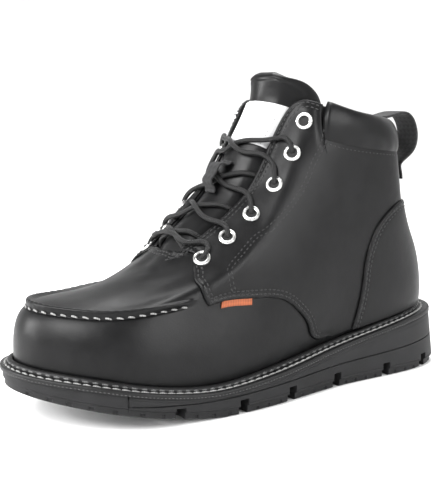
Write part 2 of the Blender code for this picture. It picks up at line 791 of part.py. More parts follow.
def tongue_patch(name, first, last, half_first, half_last, look):
    """A flat patch sewn on the tongue between two stations."""
    steps = 5
    station = np.repeat(np.linspace(first, last, steps)[:, None], steps + 2, axis=1)
    half = np.linspace(half_first, half_last, steps)[:, None]
    across = half * np.linspace(-1, 1, steps + 2)
    low = SKIN_GAP + GAP
    front = tongue_point(station, across, low + PATCH_THICKNESS)
    back = tongue_point(station, across, low)
    shell(name, front, back, look)


def eyelet_frame(index, side):
    """Seat of an eyelet on its quarter: centre and outward normal."""
    station, level = EYELETS[index]
    turned = station if side > 0 else 2 * STATIONS - station
    out = normal(turned, level)
    return skin(turned, level, SKIN_GAP + QUARTER_THICKNESS + EYELET_SEAT), out


def make_eyelets():
    """Twelve plain ring eyelets, sharing one mesh."""
    sides = 10
    profile = (
        (EYELET_RADIUS, 0.0), (EYELET_RADIUS * 0.9, EYELET_HEIGHT),
        (EYELET_HOLE * 1.1, EYELET_HEIGHT), (EYELET_HOLE, 0.0),
    )
    turns = np.arange(sides) * 2 * math.pi / sides
    rings = [(radius * np.cos(turns), radius * np.sin(turns), 0 * turns + height) for radius, height in profile]
    points = np.array(rings + rings[:1]).transpose(0, 2, 1).reshape(-1, 3)
    faces = quads(len(profile) + 1, sides, 0, True)
    shared = None
    for side, word in ((1, "outer"), (-1, "inner")):
        for index in range(len(EYELETS)):
            name = f"eyelet_{word}_{index + 1}"
            if shared is None:
                thing = place_mesh(name, points, faces, "nickel", 50)
                shared = thing.data
            else:
                thing = bpy.data.objects.new(name, shared)
                bpy.context.scene.collection.objects.link(thing)
            centre, out = eyelet_frame(index, side)
            along = np.cross((0, 0, 1), out)
            along = along / np.linalg.norm(along)
            turn = Matrix(np.stack([along, np.cross(out, along), out], 1).tolist()).to_4x4()
            thing.matrix_world = Matrix.Translation(centre.tolist()) @ turn


def over_facing(index, side, shift, share):
    """A point of a lace on its facing: a share of the way from an eyelet's hole to the throat's edge."""
    station, level = EYELETS[index]
    station = station + shift * share
    level = level + (LEVELS - level) * share
    turned = station if side > 0 else 2 * STATIONS - station
    over_ring = EYELET_SEAT + EYELET_HEIGHT + GAP
    clear = over_ring * np.interp(share, (0, 0.4, 0.75, 1), (0.75, 1.3, 0.8, 0.6))
    return skin(turned, level, SKIN_GAP + QUARTER_THICKNESS + GAP + LACE_RADIUS + clear)


def strand(lower, upper, side, starts_on, ends_on, lowered):
    """Route of one lace strand from a side's lower eyelet to the other side's upper one."""
    clear = LACE_RADIUS + GAP
    low_station = EYELETS[lower][0]
    high_station = EYELETS[upper][0]
    middle = (low_station + high_station) / 2 + lowered
    slot = BALL_WIDTH * THROAT_SHARE
    points = []
    if starts_on:
        points += [over_facing(lower, side, LACE_LEAVES, share) for share in LACE_SHARES]
    else:
        points.append(tongue_point(low_station - LACE_SLANT, side * slot, clear * STEEP))
    for share in (0.5, 0.0, -0.5):
        station = middle + (low_station - high_station) * share * 0.5
        lift = clear * (1 + abs(share)) + LACE_SLACK
        points.append(tongue_point(station, side * slot * share * 1.1, lift))
    if ends_on:
        points += [over_facing(upper, -side, LACE_ENTERS, share) for share in LACE_SHARES[::-1]]
    else:
        points.append(tongue_point(high_station + LACE_SLANT, -side * slot, clear * STEEP))
    return np.array(points)


def tube(name, route, look, sides=6, per_point=2):
    """A round cord through the points of a route, with flat ends."""
    knots = np.arange(len(route))
    fine = spline(knots, route, np.linspace(0, len(route) - 1, (len(route) - 1) * per_point + 1))
    ahead = np.gradient(fine, axis=0)
    ahead = ahead / np.linalg.norm(ahead, axis=1, keepdims=True)
    lift = np.array((0, -0.6, 0.8))
    beside = np.cross(ahead, lift)
    beside = beside / np.linalg.norm(beside, axis=1, keepdims=True)
    above = np.cross(beside, ahead)
    turns = np.arange(sides) * 2 * math.pi / sides
    ring = beside[:, None] * np.cos(turns)[:, None] + above[:, None] * np.sin(turns)[:, None]
    points = fine[:, None] + ring * LACE_RADIUS
    faces = quads(len(fine), sides, 0, True)
    last = (len(fine) - 1) * sides
    faces.append(tuple(range(sides)))
    faces.append(tuple(last + corner for corner in range(sides))[::-1])
    return place_mesh(name, points.reshape(-1, 3), faces, look)


def make_laces():
    """The straight bar at the bottom eyelets and the crossings above it."""
    route = [over_facing(0, 1, 0.0, share) for share in LACE_SHARES]
    for share in (0.6, 0.0, -0.6):
        slot = BALL_WIDTH * THROAT_SHARE
        height = TONGUE_CROWN * 0.6 + LACE_RADIUS
        point, up, out, turn = throat(EYELETS[0][0])
        route.append(point + out * height + np.array((slot * share, slot * share * turn, 0)))
    route += [over_facing(0, -1, 0.0, share) for share in LACE_SHARES[::-1]]
    tube("lace_bar", np.array(route), "lace")
    for lower, upper, starts_on, ends_on, lowered in CROSSINGS:
        name = f"lace_crossing_{lower + 1}_{upper + 1}"
        thing = tube(name, strand(lower, upper, 1, starts_on, ends_on, lowered), "lace")
        other = tube(name + "_other", strand(lower, upper, -1, starts_on, ends_on, lowered), "lace")
        other.hide_render = True
        other.display_type = "WIRE"
        boolean = thing.modifiers.new("join", "BOOLEAN")
        boolean.operation = "UNION"
        boolean.solver = "EXACT"
        boolean.object = other


def strip(name, path, width, thickness, look, steps=3):
    """A band of webbing: a smooth path in the boot's middle plane, widened to both sides."""
    path = np.array(path)
    knots = np.arange(len(path))
    fine = spline(knots, path, np.linspace(0, len(path) - 1, (len(path) - 1) * steps + 1))
    ahead = np.gradient(fine, axis=0)
    ahead = ahead / np.linalg.norm(ahead, axis=1, keepdims=True)
    aside = np.stack([ahead[:, 1], -ahead[:, 0]], -1) * thickness / 2
    grids = []
    for flat in (fine + aside, fine - aside):
        edges = []
        for across in (-width / 2, width / 2):
            beside = np.full(len(flat), across + MIDDLE_X)
            edges.append(np.stack([beside, flat[:, 0], flat[:, 1]], -1))
        grids.append(np.array(edges))
    shell(name, grids[0], grids[1], look)


def make_keeper():
    """The webbing strap on the tongue that the third crossing passes under."""
    middle = (EYELETS[2][0] + EYELETS[3][0]) / 2
    span = np.linalg.norm(throat(middle + 0.5)[0] - throat(middle - 0.5)[0])
    arch = 2 * LACE_RADIUS + KEEPER_ROOM
    half = KEEPER_LENGTH / 2 / span
    path = []
    for away, lift in KEEPER_PATH:
        height = SKIN_GAP + GAP + lift * arch + KEEPER_THICKNESS / 2
        path.append(tongue_point(middle + away * half, 0.0, height)[1:])
    strip("lace_keeper", path, KEEPER_WIDTH, KEEPER_THICKNESS, "webbing", steps=2)


def make_pull_loop():
    """The webbing loop at the back, from the collar's top out and down to the heel's back."""
    rise = COLLAR_RISE / rise_per_level(0.0, LEVELS)
    crest = bare(0.0, LEVELS + rise)
    crest[2] = bare(LOOP_SPREAD, LEVELS + rise)[2]
    seat = 2 * SKIN_GAP + QUARTER_THICKNESS + LOOP_THICKNESS / 2
    below = skin(0.0, 3.72, seat)
    foot = skin(0.0, 3.5, seat)
    start = crest[2] + LOOP_CLEAR + LOOP_THICKNESS / 2
    drop = crest[2] - below[2]
    path = (
        (crest[1] - LOOP_LAP, start + 0.1 * LOOP_THICKNESS),
        (crest[1] + LOOP_LAP, start + 0.4 * LOOP_THICKNESS),
        (crest[1] + LOOP_REACH * 0.72, start + 1.1 * LOOP_THICKNESS),
        (crest[1] + LOOP_REACH, crest[2] - 0.22 * drop),
        (crest[1] + LOOP_REACH * 0.93, crest[2] - 0.65 * drop),
        (below[1] + LOOP_LAP, below[2] + LOOP_LAP),
        (below[1], below[2]),
        (foot[1], foot[2]),
    )
    strip("pull_loop", path, LOOP_WIDTH, LOOP_THICKNESS, "webbing", steps=3)


def make_side_tag():
    """The small woven tag that shows under the outer quarter's lower edge."""
    steps = 5
    station = np.repeat(np.linspace(*TAG_STATIONS, steps)[None, :], 2, axis=0)
    top = np.interp(station[0], [row[0] for row in QUARTER_RUNGS], [row[1] for row in QUARTER_RUNGS])
    drop = TAG_HEIGHT / rise_per_level(station[0], top)
    margin = SKIN_GAP / rise_per_level(station[0], top)
    level = np.array([top - margin - drop, top - margin])
    overlay("side_tag", station, level, SKIN_GAP, PATCH_THICKNESS, "orange patch")


def main():
    for thing in list(bpy.data.objects):
        bpy.data.objects.remove(thing)
    make_outsole()
    make_midsole()
    make_welt()
    make_insole()
    make_upper()
    make_quarters()
    make_counter()
    make_collar()
    make_tongue()
    tongue_patch("tongue_label", *LABEL_STATIONS, 0.5 * LABEL_WIDTH, 0.46 * LABEL_WIDTH, "white patch")
    make_keeper()
    make_eyelets()
    make_laces()
    make_pull_loop()
    make_side_tag()


main()
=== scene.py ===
"""Wedge sole work boot, left foot: fine surfaces, stitching and finishes over its fixed frame.

Metres, +Z up. The toe points to -Y and the outer side of the foot to +X. A place on the boot is a
station around the last (0 at the back of the heel, 9 at the tip of the toe, 18 at the heel again by
the inner side) and a level up its wall (0 where upper meets sole, 5 at collar and throat).
"""

import math

import bmesh
import bpy
import numpy as np
from mathutils import Matrix


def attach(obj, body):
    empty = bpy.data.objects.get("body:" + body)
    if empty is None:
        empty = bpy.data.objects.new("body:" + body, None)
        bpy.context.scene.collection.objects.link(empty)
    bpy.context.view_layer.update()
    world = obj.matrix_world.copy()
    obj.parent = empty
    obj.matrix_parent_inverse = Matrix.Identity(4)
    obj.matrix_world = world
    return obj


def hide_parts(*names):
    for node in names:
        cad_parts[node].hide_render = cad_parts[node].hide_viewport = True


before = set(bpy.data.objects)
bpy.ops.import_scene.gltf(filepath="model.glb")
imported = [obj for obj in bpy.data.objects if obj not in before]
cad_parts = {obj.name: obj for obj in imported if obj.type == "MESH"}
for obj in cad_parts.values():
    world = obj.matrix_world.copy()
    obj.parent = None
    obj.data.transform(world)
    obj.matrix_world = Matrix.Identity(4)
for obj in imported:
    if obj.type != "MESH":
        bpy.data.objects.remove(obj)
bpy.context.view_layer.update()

bl_info = {
    "name": "Work boot",
    "version": (1, 0, 0),
    "blender": (4, 5, 0),
    "location": "View3D > Sidebar > Boot",
    "description": "Makes the leather, sole, lacing and stitching of a wedge sole work boot",
    "category": "Object",
}

MM = 0.001

# Sole
LENGTH = 306 * MM
BALL_WIDTH = 111 * MM
WEDGE_HEIGHT = 39.5 * MM
TOE_SPRING = 20.4 * MM
SPRING_START = 0.64
SPRING_POWER = 1.17
HEEL_RAKE = 4.5 * MM
PANEL_STEP = 0.8 * MM
TREAD_LINE = 4.6 * MM
TREAD_STEP = 0.9 * MM
LUG_GAP = 5.5 * MM
LUG_DEPTH = 10 * MM
GROOVE_DEPTH = 3.2 * MM
NICK_WIDTH = 2.4 * MM
NICK_HEIGHT = 2.8 * MM
NICK_DEPTH = 2.6 * MM
WELT_THICKNESS = 3.0 * MM
WELT_OVERHANG = 0.7 * MM
BEAD_HEIGHT = 3.4 * MM
BEAD_WIDTH = 3.2 * MM
STITCH_SHARE = 0.60
WEDGE_END = 0.8335

# Upper
UPPER_HEIGHT = 155 * MM
WALL = 2.0 * MM
OVERLAY = 1.3 * MM
COLLAR_RISE = 2.6 * MM
COLLAR_END = 3.03
COLLAR_RUN = 36
LIP_HEIGHT = 3.4 * MM
LIP_WIDTH = 1.9 * MM
LIP_SETBACK = 2.2 * MM
LIP_START = 5.92
LIP_RAMP = 0.35
SEAM_LEVEL = 2.0
PANEL_FOOT = 0.36
PANEL_TOP = 4.97

# Tongue and what is on it
TONGUE_RISE = 22 * MM
TONGUE_LEAN = 2 * MM
TONGUE_WIDTH = 60 * MM
TONGUE_THICKNESS = 5.5 * MM
TONGUE_CROWN = 8.5 * MM
TONGUE_NOSE = 14 * MM
LABEL_WIDTH = 32.5 * MM
LABEL_STATIONS = (3.98, 4.69)
LABEL_HALVES = (0.5, 0.46)
KEEPER_WIDTH = 11 * MM
KEEPER_LENGTH = 24 * MM
KEEPER_THICKNESS = 1.4 * MM
KEEPER_ROOM = 2.8 * MM

# Lacing, pull loop and side tag
LACE_RADIUS = 1.55 * MM
STITCH = 2.4 * MM
THROAT_HALF = 17.0 * MM
HOLES_APART = 46 * MM
LOOP_WIDTH = 20 * MM
LOOP_THICKNESS = 2.2 * MM
LOOP_REACH = 27 * MM
LOOP_LAP = 4 * MM
LOOP_CLEAR = 0.9 * MM
LOOP_SPREAD = 0.56
TAG_DROP = 4.4 * MM

# Clearances, and the middle of the sole
GAP = 0.3 * MM
SKIN_GAP = 0.55 * MM
MIDDLE_X = -0.63 * MM
MIDDLE_Y = 1.06 * MM

# Stations from heel to toe, levels up the wall, and the usual run of skin per station and level in mm
STATIONS = 9
LEVELS = 5
STATION_RUN = 34
LEVEL_RUN = 30

# Camera: the photograph's height and the focal length in its pixels, then place, right and up
PHOTO_HEIGHT = 495
FOCAL_LENGTH = 963.67
SENSOR_HEIGHT = 36
CAMERA_PLACE = (0.51037, -0.31154, 0.1798)
CAMERA_RIGHT = (0.5038, 0.8638, -0.0068)
CAMERA_UP = (-0.1274, 0.0820, 0.9885)

# One row a station. place: share of LENGTH from the heel. outer, inner: half widths, shares of
# BALL_WIDTH. top, parting: heights of the welt's edge and of the line between the sole layers,
# shares of WEDGE_HEIGHT. feather: how far the upper stands in from the edge, share of BALL_WIDTH.
SOLE_ROWS = np.array((
    # place  outer   inner  top    parting feather
    (0.000, 0.000, 0.000, 1.000, 0.520, 0.144),
    (0.050, 0.248, 0.257, 0.975, 0.500, 0.131),
    (0.170, 0.341, 0.341, 0.873, 0.430, 0.104),
    (0.360, 0.383, 0.333, 0.653, 0.362, 0.088),
    (0.480, 0.455, 0.365, 0.527, 0.324, 0.086),
    (0.580, 0.498, 0.423, 0.453, 0.299, 0.084),
    (0.690, 0.509, 0.491, 0.441, 0.292, 0.079),
    (0.830, 0.484, 0.467, 0.620, 0.390, 0.072),
    (0.930, 0.329, 0.356, 0.754, 0.480, 0.068),
    (1.000, -0.018, 0.018, 0.830, 0.560, 0.068),
))

# The two lowest levels above the feather line: insets from the sole's edge, shares of BALL_WIDTH,
# and heights, shares of UPPER_HEIGHT, of the wall's widest part and of the moc seam.
WALL_ROWS = np.array((
    # swell_in swell_up seam_out seam_in seam_up
    (0.150, 0.106, 0.190, 0.190, 0.268),
    (0.117, 0.110, 0.153, 0.153, 0.268),
    (0.072, 0.126, 0.077, 0.077, 0.287),
    (0.052, 0.143, 0.040, 0.022, 0.324),
    (0.064, 0.143, 0.077, 0.032, 0.330),
    (0.067, 0.136, 0.111, 0.068, 0.323),
    (0.066, 0.126, 0.117, 0.117, 0.310),
    (0.063, 0.113, 0.131, 0.131, 0.245),
    (0.063, 0.101, 0.135, 0.135, 0.217),
    (0.068, 0.092, 0.140, 0.140, 0.208),
))

# The three upper levels, each (along as a share of LENGTH, half width as a share of BALL_WIDTH,
# height as a share of UPPER_HEIGHT, twist forward on the inner side).
RING_ROWS = np.array((
    # ankle and apron             collar seam, eyelets          collar, throat
    ((0.404, 0.000, 0.423, 0.00), (0.382, 0.000, 0.684, 0.00), (0.361, 0.000, 0.797, 0.00)),
    ((0.371, 0.180, 0.435, 0.00), (0.350, 0.180, 0.694, 0.00), (0.332, 0.162, 0.810, 0.00)),
    ((0.307, 0.279, 0.481, 0.00), (0.281, 0.299, 0.735, 0.00), (0.248, 0.288, 0.858, 0.00)),
    ((0.150, 0.332, 0.563, 0.00), (0.126, 0.302, 0.846, 0.06), (0.135, 0.275, 0.966, 0.12)),
    ((0.054, 0.327, 0.646, 0.10), (0.072, 0.248, 0.917, 0.25), (0.068, 0.167, 0.995, 0.25)),
    ((-0.039, 0.347, 0.517, 0.10), (0.009, 0.243, 0.730, 0.25), (-0.001, 0.158, 0.781, 0.25)),
    ((-0.118, 0.356, 0.426, 0.10), (-0.069, 0.252, 0.585, 0.25), (-0.073, 0.153, 0.612, 0.25)),
    ((-0.250, 0.288, 0.294, 0.03), (-0.139, 0.261, 0.423, 0.08), (-0.163, 0.158, 0.441, 0.00)),
    ((-0.320, 0.171, 0.255, 0.00), (-0.229, 0.131, 0.321, 0.00), (-0.175, 0.081, 0.403, 0.00)),
    ((-0.359, 0.000, 0.240, 0.00), (-0.239, 0.000, 0.300, 0.00), (-0.179, 0.000, 0.383, 0.00)),
))

# Tongue: station, crown and half width as shares of TONGUE_CROWN and TONGUE_WIDTH, side fall
TONGUE_ROWS = np.array((
    # station crown  half   fall
    (3.00, 0.55, 0.08, 0.90),
    (3.06, 0.70, 0.15, 1.00),
    (3.20, 0.85, 0.24, 1.10),
    (3.45, 0.95, 0.34, 1.30),
    (3.70, 1.00, 0.39, 1.42),
    (3.85, 1.00, 0.41, 1.48),
    (4.00, 1.00, 0.40, 1.45),
    (4.80, 0.95, 0.39, 1.38),
    (5.30, 0.72, 0.39, 1.38),
    (6.00, 0.72, 0.42, 1.38),
    (6.60, 0.60, 0.40, 1.30),
    (7.00, 0.05, 0.36, 1.10),
    (7.50, -0.55, 0.30, 0.90),
    (8.00, -0.75, 0.26, 0.80),
))

# Eyelets from the bottom one up: station and level on the outer side, mirrored on the inner side
EYELETS = ((7.00, 3.87), (6.50, 4.03), (5.73, 3.93), (5.00, 3.90), (4.43, 3.83), (3.80, 4.07))

# Main notches in the tread: place as a share of LENGTH, height as a share of the outsole's side
LUGS = ((0.085, 0.45), (0.206, 0.53), (0.345, 0.60), (0.475, 0.68), (0.598, 0.72), (0.735, 0.72))
# Small nicks along the tread's edge, as shares of LENGTH from the heel
NICKS = (
    0.022, 0.048, 0.117, 0.147, 0.178, 0.236, 0.262, 0.290, 0.318, 0.376, 0.410, 0.444, 0.504,
    0.535, 0.564, 0.629, 0.664, 0.701, 0.770, 0.808, 0.857, 0.895, 0.927, 0.955, 0.981,
)
# Lower edge of the raised side panel: place as a share of LENGTH, height above the floor in mm
PANEL_EDGE = np.array((
    (0.00, 4.6), (0.58, 4.9), (0.66, 6.0), (0.72, 7.6), (0.758, 9.6), (0.792, 11.7), (0.828, 14.2),
    (0.836, 60.0),
))

# Soft troughs pressed into the leather: station, level, half length and half width in mm, turn in
# degrees from level, depth in mm. A negative depth is a ridge.
CREASES = (
    # station level  long  wide  turn   deep
    (3.70, 2.75, 26, 9.0, 18, 0.30),
    (4.20, 2.35, 22, 9.0, 14, -0.25),
    (4.60, 3.30, 18, 7.0, 20, 0.30),
    (5.20, 2.80, 14, 7.0, -10, 0.22),
    (14.3, 2.75, 26, 9.0, -18, 0.30),
    (13.8, 2.35, 22, 9.0, -14, -0.25),
    (7.60, 3.75, 18, 5.0, 10, 0.35),
    (8.40, 4.15, 14, 4.0, 4, 0.35),
    (10.2, 3.80, 18, 5.0, -10, 0.35),
    (7.90, 3.10, 20, 7.0, 6, -0.25),
)

# Edges of the overlays on the outer side, as (station, level). The inner side mirrors them.
QUARTER_ARCH = (
    (3.14, 0.40), (3.22, 0.47), (3.37, 0.87), (3.57, 1.30), (3.83, 1.62), (4.23, 1.80), (4.67, 1.87),
    (5.03, 1.92), (5.40, 1.94), (5.67, 1.90),
)
QUARTER_FRONT = (
    (5.67, 1.90), (5.93, 2.27), (6.20, 2.66), (6.50, 3.07), (6.85, 3.50), (7.14, 3.86), (7.22, 4.30),
)
COUNTER_EDGE = (
    (0.0, 3.19), (0.6, 3.20), (1.2, 3.19), (1.73, 3.12), (2.13, 2.92), (2.33, 2.68), (2.43, 2.42),
    (2.50, 2.05), (2.53, 1.57), (2.57, 1.03), (2.63, 0.40),
)
EYESTAY = (
    (2.97, 4.47), (3.10, 3.90), (3.73, 3.37), (4.03, 3.12), (4.40, 3.02), (5.20, 3.25), (5.78, 3.32),
    (5.98, 3.10), (5.73, 2.67), (5.23, 2.10),
)


def spline(knots, values, at, period=None):
    """Cubic spline through values at rising knots: natural ends, or closed over the period."""
    knots = np.asarray(knots, float)
    values = np.asarray(values, float)
    at = np.asarray(at, float)
    if period is None:
        step = np.diff(knots)
    else:
        at = (at - knots[0]) % period + knots[0]
        step = np.diff(np.append(knots, knots[0] + period))
        values = np.concatenate([values, values[:1]])
    count = len(knots) if period is not None else len(knots) - 2
    matrix = np.zeros((count, count))
    right = np.zeros((count,) + values.shape[1:])
    slope = np.diff(values, axis=0) / step.reshape((-1,) + (1,) * (values.ndim - 1))
    for row in range(count):
        left_step = step[row - 1] if period is not None else step[row]
        right_step = step[row] if period is not None else step[row + 1]
        matrix[row, row] += 2 * (left_step + right_step)
        if period is not None:
            matrix[row, (row - 1) % count] += left_step
            matrix[row, (row + 1) % count] += right_step
            right[row] = 6 * (slope[row] - slope[row - 1])
        else:
            if row > 0:
                matrix[row, row - 1] += left_step
            if row < count - 1:
                matrix[row, row + 1] += right_step
            right[row] = 6 * (slope[row + 1] - slope[row])
    bend = np.linalg.solve(matrix, right)
    if period is not None:
        bend = np.concatenate([bend, bend[:1]])
    else:
        zero = np.zeros((1,) + values.shape[1:])
        bend = np.concatenate([zero, bend, zero])
    starts = np.append(knots, knots[0] + period) if period is not None else knots
    span = np.clip(np.searchsorted(starts, at, side="right") - 1, 0, len(step) - 1)
    width = step[span]
    wide = width.reshape(width.shape + (1,) * (values.ndim - 1))
    share = ((at - starts[span]) / width).reshape(wide.shape)
    rest = 1 - share
    bent = (rest ** 3 - rest) * bend[span] + (share ** 3 - share) * bend[span + 1]
    return rest * values[span] + share * values[span + 1] + bent * wide ** 2 / 6


def around(column, station, inner=None):
    """A column of station values read anywhere around the last, its two sides mirrored."""
    other = column if inner is None else inner
    values = list(column) + list(other[STATIONS - 1:0:-1])
    return spline(range(2 * STATIONS), values, station, 2 * STATIONS)


ANGLES = np.arccos(1 - 2 * SOLE_ROWS[:, 0])


def angle(station):
    """Angle around the outline: 0 at the heel, pi at the toe, on to two pi by the inner side."""
    station = np.asarray(station, float) % (2 * STATIONS)
    turned = np.concatenate([ANGLES, 2 * math.pi - ANGLES[-2::-1]])
    lap = np.concatenate([turned[-4:-1] - 2 * math.pi, turned, turned[1:4] + 2 * math.pi])
    return spline(np.arange(-3, len(turned) + 3), lap, station)


def edge(theta):
    """The sole's edge at the floor: half width by a closed spline, length by the angle's cosine."""
    knots = np.concatenate([ANGLES, 2 * math.pi - ANGLES[-2:0:-1]])
    widths = np.concatenate([SOLE_ROWS[:, 1], -SOLE_ROWS[-2:0:-1, 2]])
    across = spline(knots, widths, theta, 2 * math.pi) * BALL_WIDTH
    return np.stack([across + MIDDLE_X, np.cos(theta) * LENGTH / 2 + MIDDLE_Y], -1)


def unit(vectors):
    """Vectors drawn to length one, over the last axis."""
    return vectors / np.linalg.norm(vectors, axis=-1, keepdims=True)


def mirrored(station, side):
    """A station of the outer side, or the matching one of the inner side where side is negative."""
    return station if side > 0 else 2 * STATIONS - station


def outline(station, inset):
    """The sole's edge moved inward by an inset along its own normal."""
    theta = angle(station)
    small = 0.001
    run = edge(theta + small) - edge(theta - small)
    run = unit(run)
    inward = np.stack([run[..., 1], -run[..., 0]], -1)
    return edge(theta) + inward * np.asarray(inset)[..., None]


def share_from_heel(station):
    """Place along the sole: 0 at the heel, 1 at the toe."""
    return (1 - np.cos(angle(station))) / 2


def rake(station):
    """How far the sole's side leans in from floor to welt, mostly at the heel's back."""
    return HEEL_RAKE * ((1 + np.cos(angle(station))) / 2) ** 6


def sole_top(station):
    """Height of the welt's edge."""
    return around(SOLE_ROWS[:, 3], station) * WEDGE_HEIGHT


def parting(station):
    """Height of the line between the two layers of the sole."""
    return around(SOLE_ROWS[:, 4], station) * WEDGE_HEIGHT


def sole_bottom(station):
    """The tread's lowest surface: flat from heel to ball, then a rising power curve to the toe."""
    rise = np.clip((share_from_heel(station) - SPRING_START) / (1 - SPRING_START), 0, 1)
    return TOE_SPRING * rise ** SPRING_POWER


def levels(station):
    """The upper's six level points at each station: two from the sole's outline, the seam, three rings."""
    station = np.asarray(station, float)
    base = sole_top(station)
    feather = around(SOLE_ROWS[:, 5], station) * BALL_WIDTH
    swell = around(WALL_ROWS[:, 0], station) * BALL_WIDTH
    seam = around(WALL_ROWS[:, 2], station, WALL_ROWS[:, 3]) * BALL_WIDTH
    heights = (
        base - WELT_THICKNESS + GAP,
        base + around(WALL_ROWS[:, 1], station) * UPPER_HEIGHT,
        base + around(WALL_ROWS[:, 4], station) * UPPER_HEIGHT,
    )
    points = []
    for inset, height in zip((feather, swell, seam), heights):
        points.append(np.concatenate([outline(station, inset), height[..., None]], -1))
    for ring in range(RING_ROWS.shape[1]):
        along = around(RING_ROWS[:, ring, 0], station) * LENGTH
        across = around(RING_ROWS[:, ring, 1], station, -RING_ROWS[:, ring, 1]) * BALL_WIDTH
        along = along + around(RING_ROWS[:, ring, 3], station) * across
        height = base + around(RING_ROWS[:, ring, 2], station) * UPPER_HEIGHT
        points.append(np.stack([across + MIDDLE_X, along + MIDDLE_Y, height], -1))
    return np.array(points)


def bare(station, level):
    """A point of the last's skin: a natural spline up the six level points, straight past the top."""
    station, level = np.broadcast_arrays(np.asarray(station, float), np.asarray(level, float))
    points = levels(station.ravel())
    knots = np.arange(LEVELS + 1)
    where = np.clip(level.ravel(), 0, LEVELS)
    weights = spline(knots, np.eye(LEVELS + 1), where)
    skin_points = np.einsum("nk,knd->nd", weights, points)
    small = 0.001
    near = spline(knots, np.eye(LEVELS + 1), np.full(points.shape[1], LEVELS - small))
    tip = (points[LEVELS] - np.einsum("nk,knd->nd", near, points)) / small
    skin_points = skin_points + tip * np.clip(level.ravel() - LEVELS, 0, None)[:, None]
    return skin_points.reshape(station.shape + (3,))


def rise_per_level(station, level):
    """Length of skin per level."""
    small = 0.01
    return np.linalg.norm(bare(station, level + small) - bare(station, level - small), axis=-1) / (2 * small)


def normal(station, level):
    """The outward normal of the last's skin: the cross product of its two directions."""
    small = 0.01
    level = np.clip(np.asarray(level, float), small, LEVELS - small)
    turn = bare(np.asarray(station) + small, level) - bare(np.asarray(station) - small, level)
    climb = bare(station, level + small) - bare(station, level - small)
    out = np.cross(climb, turn)
    return unit(out)


def relief(station, level):
    """Height of the creases: each is a bell across its width times a bell along its length."""
    height = np.zeros(np.broadcast(station, level).shape)
    for at, up, half_long, half_wide, turn, deep in CREASES:
        along = (np.asarray(station) - at) * STATION_RUN * MM
        above = (np.asarray(level) - up) * LEVEL_RUN * MM
        tilt = math.radians(turn)
        run = along * math.cos(tilt) + above * math.sin(tilt)
        off = above * math.cos(tilt) - along * math.sin(tilt)
        height = height - deep * MM * np.exp(-(run / (half_long * MM)) ** 2 - (off / (half_wide * MM)) ** 2)
    return height


def skin(station, level, lift):
    """The last's skin lifted along its normal, with the creases."""
    height = np.asarray(lift + relief(station, level))[..., None]
    return bare(station, level) + normal(station, level) * height


def lip(station, distance):
    """Height of the moc seam's lip: a bell over the distance up from the seam, fading at its ends."""
    from_toe = np.abs(np.asarray(station) - STATIONS)
    fade = smooth_step(STATIONS - LIP_START - from_toe, 0.0, LIP_RAMP)
    rise = np.exp(-(np.abs(distance - LIP_SETBACK) / LIP_WIDTH) ** 2.6)
    groove = 0.22 * np.exp(-((distance + 0.9 * MM) / (0.9 * MM)) ** 2)
    return LIP_HEIGHT * fade * (rise - groove)


def throat(station):
    """Middle of the throat: a point, the way out of it and its twist."""
    knots = np.arange(3, 9)
    outer = levels(knots[1:].astype(float))[LEVELS]
    inner = levels(2.0 * STATIONS - knots[1:])[LEVELS]
    ring = (outer + inner) / 2
    ring[-1] = ring[-2] + (ring[-2] - ring[-3]) * 0.55
    top = ring[0] + np.array((0, TONGUE_LEAN, TONGUE_RISE))
    line = np.concatenate([[top], ring])
    turn = (outer - inner)[:, 1] / (outer - inner)[:, 0]
    turn = np.interp(station, knots[1:], turn)
    point = spline(knots, line, station)
    small = 0.02
    up = spline(knots, line, np.asarray(station) - small) - spline(knots, line, np.asarray(station) + small)
    up = unit(up)
    out = np.stack([0 * up[..., 0], -up[..., 2], up[..., 1]], -1)
    return point, out, turn


def tongue_point(station, across, lift):
    """A point of the tongue's front: a rounded nose across, lifted off it."""
    station, across = np.broadcast_arrays(np.asarray(station, float), np.asarray(across, float))
    point, out, turn = throat(station)
    crown = np.interp(station, TONGUE_ROWS[:, 0], TONGUE_ROWS[:, 1]) * TONGUE_CROWN
    fall = np.interp(station, TONGUE_ROWS[:, 0], TONGUE_ROWS[:, 3])
    fall = fall * (0.72 + 0.28 * smooth_step(np.abs(across), 11 * MM, 19 * MM))
    depth = crown + TONGUE_NOSE - np.sqrt(TONGUE_NOSE ** 2 + (fall * across) ** 2) + lift
    spread = np.zeros(station.shape + (3,))
    spread[..., 0] = across
    spread[..., 1] = across * turn
    return point + spread + out * depth[..., None]


def lengths_along(points):
    """Distance run along a line of points."""
    return np.concatenate([[0], np.cumsum(np.linalg.norm(np.diff(points, axis=0), axis=1))])


def resample(points, at):
    """A line of points read at distances along it."""
    return resample_by(points, lengths_along(points), at)


def curve_through(knots, count):
    """A smooth line of (station, level) through given points, even in the boot's own sizes."""
    knots = np.array(knots, float)
    scaled = knots * (STATION_RUN, LEVEL_RUN)
    run = lengths_along(scaled)
    fine = spline(run, knots, np.linspace(0, run[-1], 12 * len(knots)))
    run = lengths_along(fine * (STATION_RUN, LEVEL_RUN))
    return resample_by(fine, run, np.linspace(0, run[-1], count))


def resample_by(points, run, at):
    """A line of points read at places along the run that is given for it."""
    return np.stack([np.interp(at, run, points[:, axis]) for axis in range(points.shape[1])], -1)


